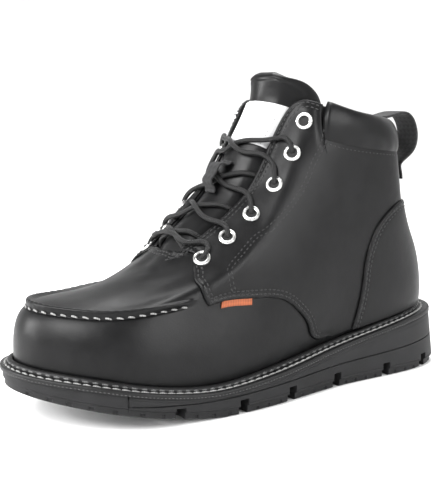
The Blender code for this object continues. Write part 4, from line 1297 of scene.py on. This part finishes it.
def make_upper():
    """Vamp and lining: the skin with the seam's lip outside, an even wall, a lining inside."""
    station = even_stations(420)
    per_level = rise_per_level(station, SEAM_LEVEL)
    below = np.linspace(0, 1.86, 34)
    across = np.concatenate([np.linspace(-3.2, 5.6, 27), (6.4, 7.6, 9.2)]) * MM
    above = np.linspace(2.62, LEVELS, 40)
    rows = [np.full(len(station), level) for level in below]
    rows += [SEAM_LEVEL + distance / per_level for distance in across]
    rows += [np.full(len(station), level) for level in above]
    level = np.array(rows)
    level = np.sort(level, axis=0)
    wide = np.broadcast_to(station, level.shape)
    distance = (level - SEAM_LEVEL) * per_level
    scallop = 1 - 0.10 * (0.5 + 0.5 * np.cos(np.arange(len(station)) / len(station) * 2 * math.pi * 112))
    lift = lip(wide, distance) * scallop
    top_edge = (LEVELS - level) * rise_per_level(station, 4.6)
    lift = lift - 0.8 * MM * (1 - rounded(top_edge, 1.0 * MM))
    outer = skin(wide, level, lift)
    inside_level = level[::3]
    if not np.allclose(inside_level[-1], level[-1]):
        inside_level = np.concatenate([inside_level, level[-1:]])
    inside = np.broadcast_to(station, inside_level.shape)
    hidden = skin(inside, inside_level, np.full(inside.shape, -WALL))
    shape = Shape()
    shape.grid(outer, around=True)
    shape.grid(hidden[::-1], around=True, slot=1)
    shape.grid(np.stack([outer[-1], hidden[-1]]), around=True)
    shape.grid(np.stack([outer[0], hidden[0]]), around=True)
    upper = shape.piece("upper_leather", [look("vamp leather"), look("lining knit")], 50)
    dress(upper, "leather", "upper")

    seam = Shape()
    line = level_line(LIP_START + 0.1, 2 * STATIONS - LIP_START - 0.1, SEAM_LEVEL, 400)
    line[:, 1] = SEAM_LEVEL - 0.55 * MM / rise_per_level(line[:, 0], SEAM_LEVEL)
    sew(seam, line, 0.35 * MM, 6.4 * MM, 4.3 * MM, 0.62 * MM, 0.22, sides=(1,))
    moc_thread = seam.piece("moc_thread", [look("pale thread")], 60)
    dress(moc_thread, "leather")

    black = Shape()
    rim = level_line(7.25, 2 * STATIONS - 7.25, LEVELS, 120)
    for inset in (2.4 * MM, 4.8 * MM):
        row = rim.copy()
        row[:, 1] = LEVELS - inset / rise_per_level(rim[:, 0], 4.6)
        sew(black, row, 0.1 * MM, sides=(1,))
    vamp_thread = black.piece("vamp_thread", [look("black thread")], 60)
    dress(vamp_thread, "leather")


def make_quarters():
    """The side panels that carry the eyelets: an arched foot, a raking front edge, sewn all round."""
    arch = curve_through(QUARTER_ARCH, 90)
    front = curve_through(QUARTER_FRONT, 80)
    heel = level_line(0.02, 3.0, PANEL_FOOT, 60)
    short = np.stack([np.linspace(3.0, 3.14, 10), np.linspace(PANEL_FOOT, 0.40, 10)], -1)
    foot = np.concatenate([heel[:-1], short[:-1], arch[:-1], front])
    top_heel = level_line(0.02, 3.02, 3.97, 60)
    top_short = np.stack([np.linspace(3.02, 3.10, 10), np.linspace(3.97, PANEL_TOP, 10)], -1)
    top_arch = level_line(3.10, 5.67, PANEL_TOP, 90)
    top_front = level_line(5.67, 7.17, PANEL_TOP, 80)
    top = np.concatenate([top_heel[:-1], top_short[:-1], top_arch[:-1], top_front])
    station, level = between(foot, top, edge_shares(70))
    start = len(heel) - 1

    def free(flat):
        return [flat[0, start:], flat[-1, start:], flat[:, -1]]

    for side, turned in (("outer", station), ("inner", 2 * STATIONS - station)):
        quarter = overlay(f"quarter_{side}_leather", turned, level, SKIN_GAP, free, "quarter leather")
        dress(quarter, "overlay_leather", f"quarter_{side}")

    black = Shape()
    lift = SKIN_GAP + OVERLAY - 0.05 * MM
    facing = level_line(3.16, 7.14, PANEL_TOP, 260)
    for inset in (2.3 * MM, 4.6 * MM):
        sew(black, step_aside(arch, -inset), lift)
        sew(black, step_aside(front, -inset), lift)
        sew(black, step_aside(facing, inset), lift)
    stay = curve_through(EYESTAY, 240)
    sew(black, stay, lift + 0.1 * MM)
    sew(black, step_aside(stay, 2.4 * MM), lift + 0.1 * MM)
    collar_seam = level_line(0.15, 2.95, 3.90, 200)
    sew(black, collar_seam, lift + 0.1 * MM)
    threads = black.piece("quarter_thread", [look("black thread")], 60)
    dress(threads, "overlay_leather")


def make_counter():
    """The heel's outer cup over both quarters, its curved edge sewn twice."""
    edge_line = curve_through(COUNTER_EDGE, 150)
    foot = level_line(0, 2.63, PANEL_FOOT, 150)
    station, level = between(foot, edge_line, edge_shares(46))
    station = np.concatenate([-station[:, :0:-1], station], axis=1)
    level = np.concatenate([level[:, :0:-1], level], axis=1)

    def free(flat):
        return [flat[-1]]

    low = 2 * SKIN_GAP + OVERLAY
    counter = overlay("heel_counter_leather", station, level, low, free, "quarter leather")
    dress(counter, "overlay_leather", "heel_counter")
    black = Shape()
    lift = low + OVERLAY - 0.05 * MM
    for inset in (2.3 * MM, 4.6 * MM):
        sew(black, step_aside(edge_line, inset), lift)
    threads = black.piece("counter_thread", [look("black thread")], 60)
    dress(threads, "overlay_leather")


def make_collar():
    """The padded cuff: a puffed profile carried around the ankle, rolled over the top and inside."""
    rise = COLLAR_RISE / float(rise_per_level(0.0, LEVELS))
    profile = np.array((
        # level, lift in mm
        (3.95, 0.60), (3.955, 1.40), (4.00, 2.55), (4.12, 3.80), (4.32, 4.75), (4.55, 5.00), (4.78, 4.75),
        (5.00, 4.05), (5.0 + rise * 0.7, 2.90), (5.0 + rise, 1.30), (5.0 + rise, -0.60),
        (5.0 + rise * 0.7, -2.30), (4.98, -3.50), (4.78, -4.30), (4.50, -4.60), (4.20, -4.20),
        (4.05, -3.30), (3.97, -2.10),
    ))
    run = np.arange(len(profile))
    fine = spline(run, profile, np.linspace(0, len(profile) - 1, 84))
    station = np.linspace(-COLLAR_END, COLLAR_END, 340)
    from_end = (COLLAR_END - np.abs(station)) * COLLAR_RUN * MM
    fade = rounded(from_end, 3.5 * MM)
    fade[0] = fade[-1] = 0.0
    level = np.repeat(fine[:, :1], len(station), axis=1)
    middle = 0.4
    lift = (middle + (fine[:, 1:] - middle) * (0.02 + 0.98 * fade)) * MM
    pinch = 0.12 * MM * np.cos(station * 21) * np.exp(-((level - 4.05) / 0.16) ** 2)
    pinch = pinch + 0.10 * MM * np.cos(station * 7 + 1.1) * np.exp(-((level - 4.6) / 0.35) ** 2)
    lift = lift + pinch * (fine[:, 1:] > 1.0)
    wide = np.broadcast_to(station, level.shape)
    puff = skin(wide, level, lift)
    shape = Shape()
    closed = np.concatenate([puff, puff[:1]])
    shape.grid(closed)
    for end in (puff[:, 0], puff[:, -1]):
        shape.grid(np.stack([end, np.broadcast_to(end.mean(0), end.shape)]))
    collar = shape.piece("collar_padding", [look("collar leather")], 70)
    dress(collar, "padded_leather", "collar", fill=0.6)


def make_tongue():
    """The padded tongue: a rounded nose across, thinned at its edge."""
    station = np.concatenate([np.linspace(3.0, 3.3, 26), np.linspace(3.34, 8.0, 110)])
    reach = np.linspace(-1, 1, 9)[:, None] * np.clip((station - 3.0) * 0.9, 0.0, 0.2)
    half = np.interp(station + reach, TONGUE_ROWS[:, 0], TONGUE_ROWS[:, 2]).mean(0) * TONGUE_WIDTH
    shares = np.sin(np.linspace(-1, 1, 61) * math.pi / 2)
    across = half[:, None] * shares
    wide = np.repeat(station[:, None], len(shares), axis=1)
    from_top = (wide - 3.0) * TONGUE_RISE
    from_side = half[:, None] * (1 - np.abs(shares))
    binding = np.minimum(from_top, from_side)
    pad = rounded(binding, 4.2 * MM)
    piping = 0.45 * MM * np.exp(-((binding - 4.4 * MM) / (1.1 * MM)) ** 2)
    front = tongue_point(wide, across, -(1 - pad) * TONGUE_THICKNESS / 2 - piping)
    back = tongue_point(wide, across * 0.99, -TONGUE_THICKNESS / 2 - pad * TONGUE_THICKNESS * 0.5)
    shape = Shape()
    shape.grid(front)
    shape.grid(back, slot=1)
    shape.rim(front, back)
    tongue = shape.piece("tongue_padding", [look("collar leather"), look("lining knit")], 60)
    dress(tongue, "padded_leather", "tongue", fill=0.5)


def make_label():
    """The tongue's patch, left bare, and the dots of thread down its two sides."""
    rows, columns = 50, 60
    place = np.linspace(*LABEL_STATIONS, rows)
    run = np.linspace(0, 1, rows)
    wide = np.repeat(place[:, None], columns, axis=1)
    upper, lower = LABEL_HALVES
    half = LABEL_WIDTH * (upper + (lower - upper) * run)[:, None]
    across = half * np.linspace(-1, 1, columns)
    flat = tongue_point(wide, across, 0.0)
    border = resample_border([flat[0], flat[-1], flat[:, 0], flat[:, -1]])
    away = distance_to(flat, border)
    lift = 0.9 * MM * rounded(away, 0.7 * MM) - 0.18 * MM * np.exp(-((away - 2.2 * MM) / (0.8 * MM)) ** 2)
    front = tongue_point(wide, across, SKIN_GAP + np.maximum(lift, 0.02 * MM))
    back = tongue_point(wide, across, SKIN_GAP - 0.3 * MM)
    uv = np.stack([across + 0.02, np.repeat(run[:, None] * 0.028, columns, axis=1)], -1)
    shape = Shape()
    shape.grid(front, uv=uv)
    shape.grid(back)
    shape.rim(front, back)
    label = shape.piece("label_patch", [look("label cloth")], 50)
    dress(label, "white_patch", "tongue_label")
    dots = Shape()
    for side in (-1, 1):
        inset = side * (half[:, 0] - 2.0 * MM)
        line = tongue_point(place, inset, SKIN_GAP + 0.82 * MM)
        out = tongue_point(place, inset, SKIN_GAP + 2 * MM) - line
        stitch_run(dots, line, out, 2.9 * MM, 0.9 * MM, 0.26 * MM, 0.0, 0.2)
    thread_piece = dots.piece("label_thread", [look("grey thread")], 60)
    dress(thread_piece, "white_patch")


def make_keeper():
    """The strap over the lace, between the third and the fourth eyelets."""
    middle = (EYELETS[2][0] + EYELETS[3][0]) / 2
    span = np.linalg.norm(throat(middle + 0.5)[0] - throat(middle - 0.5)[0])
    arch = 2 * size_of("lace") + KEEPER_ROOM
    reach = KEEPER_LENGTH / 2 / span
    path = []
    humps = ((1.0, 0.0), (0.84, 0.10), (0.62, 0.96), (0.0, 1.12), (-0.62, 0.96), (-0.84, 0.10), (-1.0, 0.0))
    for away, lift in humps:
        height = SKIN_GAP + lift * arch + KEEPER_THICKNESS / 2
        path.append(tongue_point(middle + away * reach, 0.0, height)[1:])
    shape = Shape()
    strip(shape, path, KEEPER_WIDTH, KEEPER_THICKNESS, 0.6 * MM)
    keeper = shape.piece("keeper_webbing", [look("loop webbing")], 60)
    dress(keeper, "webbing", "lace_keeper")


def make_eyelets():
    """Ring eyelets: a rolled double rim turned about each hole's own axis, with a near-black disc in each
    hole as painted shade.
    """
    sides = 44
    rim = np.array((
        # radius, height in mm
        (5.00, -0.40), (5.22, 0.00), (5.20, 0.40), (5.00, 0.70), (4.72, 0.78), (4.46, 0.62), (4.28, 0.22),
        (4.12, 0.05), (3.96, 0.30), (3.80, 0.85), (3.58, 1.05), (3.34, 0.95), (3.18, 0.60), (3.10, 0.00),
        (3.10, -1.20), (5.00, -1.20), (5.00, -0.40),
    )) * MM
    turns = np.arange(sides) * 2 * math.pi / sides
    shape = Shape()
    for side in (1, -1):
        for station, level in EYELETS:
            turned = mirrored(station, side)
            out = normal(turned, level)
            centre = bare(turned, level) + out * (SKIN_GAP + OVERLAY + 0.10 * MM)
            along = np.cross((0, 0, 1), out)
            along = along / np.linalg.norm(along)
            above = np.cross(out, along)
            round_ways = along * np.cos(turns)[:, None] + above * np.sin(turns)[:, None]
            ring = centre + rim[:, None, :1] * round_ways + rim[:, None, 1:] * out
            shape.grid(ring, around=True)
            # painted shade: a near-black disc set just under the rim stands in for the shadow down the hole
            shade_disc = np.array((3.05, 1.5, 0.0)) * MM
            hole = centre + shade_disc[:, None, None] * round_ways - out * 0.22 * MM
            shape.grid(hole, around=True, slot=1)
    nodes = [f"eyelet_{side}_{number}" for side in ("outer", "inner") for number in range(1, 7)]
    eyelets = shape.piece("eyelet_rings", [look("eyelet nickel"), look("eyelet hole")], 40)
    dress(eyelets, "eyelet_metal", *nodes)


def hole_point(index, side, lift, shift=0.0, share=0.0):
    """A point over an eyelet, or a share of the way from it to the throat's edge."""
    station, level = EYELETS[index]
    station = station + shift * share
    level = level + (LEVELS - level) * share
    turned = mirrored(station, side)
    return bare(turned, level) + normal(turned, level) * (SKIN_GAP + OVERLAY + lift)


def lace_end(index, side, shift):
    """The lace out of an eyelet's hole, over its rim and the facing to the throat's edge."""
    heights = ((-1.6, 0.0), (0.3, 0.05), (1.9, 0.24), (2.1, 0.5), (2.0, 0.76), (1.9, 1.0))
    return [hole_point(index, side, high * MM, shift, share) for high, share in heights]


def lace_dive(index, side, toward, half):
    """The lace's end that goes down between facing and tongue, out of sight, on a straight heading."""
    station = EYELETS[index][0]
    clear = size_of("lace") + GAP
    route = []
    for share, lift in ((0.62, 1.4), (0.86, 1.15), (1.06, 1.05), (1.25, 1.0)):
        across = half * share
        place = station + toward * (0.5 - across / HOLES_APART)
        route.append(tongue_point(place, side * across, clear * lift))
    return route


def make_laces():
    """Each stretch of lace: out of one eyelet, across the tongue and into or under the other side."""
    half = THROAT_HALF
    radius = size_of("lace")
    clear = radius + GAP
    station = EYELETS[0][0]
    bar = lace_end(0, 1, -0.16)
    for share, high in ((0.5, 0.55), (0.0, 0.72), (-0.5, 0.55)):
        point, out, turn = throat(station - 0.16)
        aside = half * share
        bar.append(point + out * (TONGUE_CROWN * high + radius) + np.array((aside, aside * turn, 0)))
    bar += lace_end(0, -1, -0.16)[::-1]
    shape = Shape()
    tube(shape, bar, radius)
    dress(shape.piece("lace_bar_cord", [look("lace braid")], 60), "lace_cord", "lace_bar")

    crossings = (
        # lower, upper, starts on the facing, ends on the facing, lowered, over lift
        (0, 1, False, False, 0.0, 1.0),
        (1, 2, True, False, 0.0, 1.0),
        (2, 3, True, False, 0.0, 0.5),
        (3, 4, True, True, 0.05, 1.0),
    )
    for lower, upper, starts, ends, lowered, hump in crossings:
        shape = Shape()
        for side in (1, -1):
            low = EYELETS[lower][0]
            high = EYELETS[upper][0]
            middle = (low + high) / 2 + lowered
            toward = high - low
            slant = toward * 0.3
            route = lace_end(lower, side, slant) if starts else lace_dive(lower, side, toward, half)[::-1]
            for share in (0.42, 0.0, -0.42):
                place = middle - toward * share * half / HOLES_APART
                above = (1.35 * hump if side > 0 else -0.2) * radius
                lift = clear * 1.25 + above * (1 - abs(share) * 1.6)
                route.append(tongue_point(place, side * half * share, lift))
            route += lace_end(upper, -side, -slant)[::-1] if ends else lace_dive(upper, -side, -toward, half)
            tube(shape, route, radius)
        name = f"lace_crossing_{lower + 1}_{upper + 1}"
        dress(shape.piece(f"{name}_cord", [look("lace braid")], 60), "lace_cord", name)


def make_pull_loop():
    """The webbing loop at the back, from the collar's top out and down to the heel's back."""
    rise = 2.4 * MM / float(rise_per_level(0.0, LEVELS))
    crest = bare(0.0, LEVELS + rise)
    crest_height = bare(LOOP_SPREAD, LEVELS + rise)[2]
    seat = 2 * SKIN_GAP + OVERLAY + LOOP_THICKNESS / 2 + 0.5 * MM
    below = skin(0.0, 3.72, seat)
    middle = skin(0.0, 3.61, seat)
    foot = skin(0.0, 3.5, seat)
    start = crest_height + LOOP_CLEAR + LOOP_THICKNESS / 2
    drop = crest_height - below[2]
    path = (
        (crest[1] - LOOP_LAP, start + 0.1 * LOOP_THICKNESS),
        (crest[1] + LOOP_LAP, start + 0.4 * LOOP_THICKNESS),
        (crest[1] + LOOP_REACH * 0.72, start + 1.1 * LOOP_THICKNESS),
        (crest[1] + LOOP_REACH, crest_height - 0.22 * drop),
        (crest[1] + LOOP_REACH * 0.93, crest_height - 0.65 * drop),
        (below[1] + LOOP_LAP, below[2] + LOOP_LAP),
        (below[1], below[2]),
        (middle[1], middle[2]),
        (foot[1], foot[2]),
    )
    shape = Shape()
    strip(shape, path, LOOP_WIDTH, LOOP_THICKNESS)
    loop = shape.piece("pull_loop_webbing", [look("loop webbing")], 60)
    dress(loop, "webbing", "pull_loop")


def make_tag():
    """The small woven tag under the outer quarter's lower edge, left bare."""
    count = 60
    station = np.linspace(4.72, 5.42, count)
    arch = curve_through(QUARTER_ARCH, 200)
    top = np.interp(station, arch[:, 0], arch[:, 1]) + 0.02
    drop = TAG_DROP / rise_per_level(station, 1.8)
    rows = 14
    share = np.linspace(0, 1, rows)[:, None]
    level = top - drop * share
    wide = np.broadcast_to(station, level.shape)
    bulge = 0.35 * MM * np.sin(share * math.pi * 0.9)
    front = skin(wide, level, 0.5 * MM + 0.5 * MM * (1 - share * 0.2) + bulge)
    back = skin(wide, level, 0.2 * MM + bulge * 0.5)
    along = np.repeat((station * LEVEL_RUN * MM)[None], rows, axis=0)
    uv = np.stack([along, np.repeat(share * TAG_DROP, count, axis=1)], -1)
    shape = Shape()
    shape.grid(front, uv=uv)
    shape.grid(back)
    shape.rim(front, back)
    tag = shape.piece("tag_patch", [look("tag cloth")], 50)
    dress(tag, "orange_patch", "side_tag")


def dress_insole():
    """The insole board keeps its own solid and gets the footbed's finish."""
    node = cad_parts["insole"]
    node.data.materials.clear()
    node.data.materials.append(look("footbed"))


def area_light(name, place, target, size, power):
    """A white lamp at a place, turned to its target."""
    data = bpy.data.lights.new(name, "AREA")
    data.shape = "RECTANGLE"
    data.size = size[0]
    data.size_y = size[1]
    data.energy = power
    lamp = bpy.data.objects.new(name, data)
    bpy.context.scene.collection.objects.link(lamp)
    back = np.array(place, float) - np.array(target, float)
    back = back / np.linalg.norm(back)
    right = np.cross((0, 0, 1), back)
    right = right / np.linalg.norm(right)
    turn = Matrix(np.stack([right, np.cross(back, right), back], 1).tolist()).to_4x4()
    lamp.matrix_world = Matrix.Translation(place) @ turn


def make_camera():
    """The camera at the photograph's angle: right, up and back as the columns of its turn."""
    data = bpy.data.cameras.new("camera")
    data.sensor_fit = "VERTICAL"
    data.sensor_height = SENSOR_HEIGHT
    data.lens = FOCAL_LENGTH / PHOTO_HEIGHT * SENSOR_HEIGHT
    camera = bpy.data.objects.new("camera", data)
    bpy.context.scene.collection.objects.link(camera)
    back = np.cross(CAMERA_RIGHT, CAMERA_UP)
    turn = Matrix(np.stack([CAMERA_RIGHT, CAMERA_UP, back], 1).tolist()).to_4x4()
    camera.matrix_world = Matrix.Translation(CAMERA_PLACE) @ turn
    bpy.context.scene.camera = camera


def make_stage():
    """A pale floor that curves up into a pale wall all round, soft lights and a pale sky."""
    turns = np.linspace(0, 2 * math.pi, 65)[:-1]
    bend = np.linspace(0, math.pi / 2, 13)
    radii = np.concatenate([(0.0, 0.4, 0.9, 1.5), 2.0 + np.sin(bend), (3.0,)])
    heights = np.concatenate([(0.0, 0.0, 0.0, 0.0), 1.0 - np.cos(bend), (2.2,)])
    points = np.zeros((len(radii), len(turns), 3))
    points[..., 2] = heights[:, None]
    points[..., 0] = radii[:, None] * np.cos(turns)
    points[..., 1] = radii[:, None] * np.sin(turns)
    shape = Shape()
    shape.grid(points, around=True)
    floor = shape.piece("studio_floor", [look("studio floor")], 60)
    if floor.data.polygons[0].normal.z < 0:
        floor.data.flip_normals()
    world = bpy.data.worlds.new("studio")
    world.use_nodes = True
    sky = world.node_tree.nodes["Background"]
    sky.inputs["Color"].default_value = (1, 1, 1, 1)
    sky.inputs["Strength"].default_value = 0.6
    bpy.context.scene.world = world
    bpy.context.scene.view_settings.view_transform = "Standard"
    area_light("key_light", (0.5, -1.3, 1.2), (0, -0.02, 0.06), (0.8, 0.8), 48)
    area_light("side_light", (1.5, 0.7, 0.7), (0, 0.03, 0.08), (0.4, 0.9), 20)
    area_light("toe_light", (-0.5, -1.3, 0.5), (0, -0.08, 0.06), (0.4, 0.6), 22)
    area_light("top_light", (-0.5, 0.5, 1.6), (0, 0, 0.08), (1.0, 1.0), 32)


def size_property(name, description, default):
    """A length in metres."""
    return bpy.props.FloatProperty(
        name=name, description=description, default=default, min=0.1 * MM, unit="LENGTH", precision=5,
    )


class BootSizes(bpy.types.PropertyGroup):
    """Sizes that a user would change."""
    stitch: size_property("Stitch", "Length of one stitch in the leather's black rows", STITCH)
    lace: size_property("Lace", "Radius of the lace", LACE_RADIUS)


def colour_property(name, description, default):
    """A linear colour."""
    return bpy.props.FloatVectorProperty(
        name=name, description=description, default=default, subtype="COLOR", size=3, min=0, max=1,
    )


class BootColours(bpy.types.PropertyGroup):
    """Colours of the boot's finishes, linear."""
    leather: colour_property("Leather", "All leather", (0.0035, 0.0035, 0.0037))
    rubber: colour_property("Rubber", "Tread and wedge", (0.0080, 0.0080, 0.0085))
    welt: colour_property("Welt", "Welt and bead", (0.0060, 0.0060, 0.0062))
    webbing: colour_property("Webbing", "Pull loop and keeper", (0.0070, 0.0070, 0.0073))
    lace: colour_property("Lace", "Lace", (0.0045, 0.0045, 0.0047))
    black_thread: colour_property("Black thread", "Thread on the leather", (0.0200, 0.0200, 0.0205))
    pale_thread: colour_property("Pale thread", "Thread on moc seam and welt", (0.2700, 0.2700, 0.2650))
    grey_thread: colour_property("Grey thread", "Thread on the bead", (0.0950, 0.0950, 0.0950))
    label: colour_property("Label", "Patch on the tongue", (0.5600, 0.5600, 0.5650))
    tag: colour_property("Tag", "Tag under the quarter", (0.3600, 0.0850, 0.0230))
    nickel: colour_property("Nickel", "Eyelets", (0.7600, 0.7600, 0.7500))
    # painted shade: near-black for the disc inside each eyelet's hole
    hole: colour_property("Hole", "Inside of the eyelets", (0.0020, 0.0020, 0.0020))
    lining: colour_property("Lining", "Lining and footbed", (0.0220, 0.0220, 0.0230))
    floor: colour_property("Floor", "Studio floor", (0.8600, 0.8600, 0.8600))


class BOOT_OT_sole(bpy.types.Operator):
    """Makes the outsole with its notches and tread, and the wedge over it"""
    bl_idname = "boot.sole"
    bl_label = "Sole"

    def execute(self, context):
        make_sole_layers()
        return {"FINISHED"}


class BOOT_OT_welt(bpy.types.Operator):
    """Makes the welt, its ribbed bead and its stitches"""
    bl_idname = "boot.welt"
    bl_label = "Welt"

    def execute(self, context):
        make_welt()
        return {"FINISHED"}


class BOOT_OT_upper(bpy.types.Operator):
    """Makes the vamp with its moc seam, and the lining"""
    bl_idname = "boot.upper"
    bl_label = "Upper"

    def execute(self, context):
        make_upper()
        return {"FINISHED"}


class BOOT_OT_panels(bpy.types.Operator):
    """Makes the quarters, the heel counter and the tag"""
    bl_idname = "boot.panels"
    bl_label = "Panels"

    def execute(self, context):
        make_quarters()
        make_counter()
        make_tag()
        return {"FINISHED"}


class BOOT_OT_padding(bpy.types.Operator):
    """Makes the collar and the tongue with its label and keeper"""
    bl_idname = "boot.padding"
    bl_label = "Collar and tongue"

    def execute(self, context):
        make_collar()
        make_tongue()
        make_label()
        make_keeper()
        return {"FINISHED"}


class BOOT_OT_lacing(bpy.types.Operator):
    """Makes the eyelets, the lace and the pull loop"""
    bl_idname = "boot.lacing"
    bl_label = "Lacing"

    def execute(self, context):
        make_laces()
        make_eyelets()
        make_pull_loop()
        return {"FINISHED"}


class BOOT_OT_footbed(bpy.types.Operator):
    """Gives the insole board its finish"""
    bl_idname = "boot.footbed"
    bl_label = "Footbed"

    def execute(self, context):
        dress_insole()
        return {"FINISHED"}


class BOOT_OT_stage(bpy.types.Operator):
    """Makes the camera, the floor and the studio light"""
    bl_idname = "boot.stage"
    bl_label = "Stage"

    def execute(self, context):
        make_camera()
        make_stage()
        return {"FINISHED"}


OPERATORS = (
    BOOT_OT_stage, BOOT_OT_lacing, BOOT_OT_sole, BOOT_OT_welt, BOOT_OT_upper, BOOT_OT_panels, BOOT_OT_padding,
    BOOT_OT_footbed,
)


class BOOT_PT_panel(bpy.types.Panel):
    """Lists the boot's pieces, sizes and colours"""
    bl_idname = "BOOT_PT_panel"
    bl_label = "Boot"
    bl_space_type = "VIEW_3D"
    bl_region_type = "UI"
    bl_category = "Boot"

    def draw(self, context):
        for operator in OPERATORS:
            self.layout.operator(operator.bl_idname)
        for group in (context.scene.boot_sizes, context.scene.boot_colours):
            for name in group.__annotations__:
                self.layout.prop(group, name)


def register():
    for kind in (BootSizes, BootColours, *OPERATORS, BOOT_PT_panel):
        bpy.utils.register_class(kind)
    bpy.types.Scene.boot_sizes = bpy.props.PointerProperty(type=BootSizes)
    bpy.types.Scene.boot_colours = bpy.props.PointerProperty(type=BootColours)


def unregister():
    del bpy.types.Scene.boot_colours
    del bpy.types.Scene.boot_sizes
    for kind in (BOOT_PT_panel, *reversed(OPERATORS), BootColours, BootSizes):
        bpy.utils.unregister_class(kind)


def main():
    register()
    for operator in OPERATORS:
        family, name = operator.bl_idname.split(".")
        getattr(getattr(bpy.ops, family), name)()


if __name__ == "__main__":
    main()
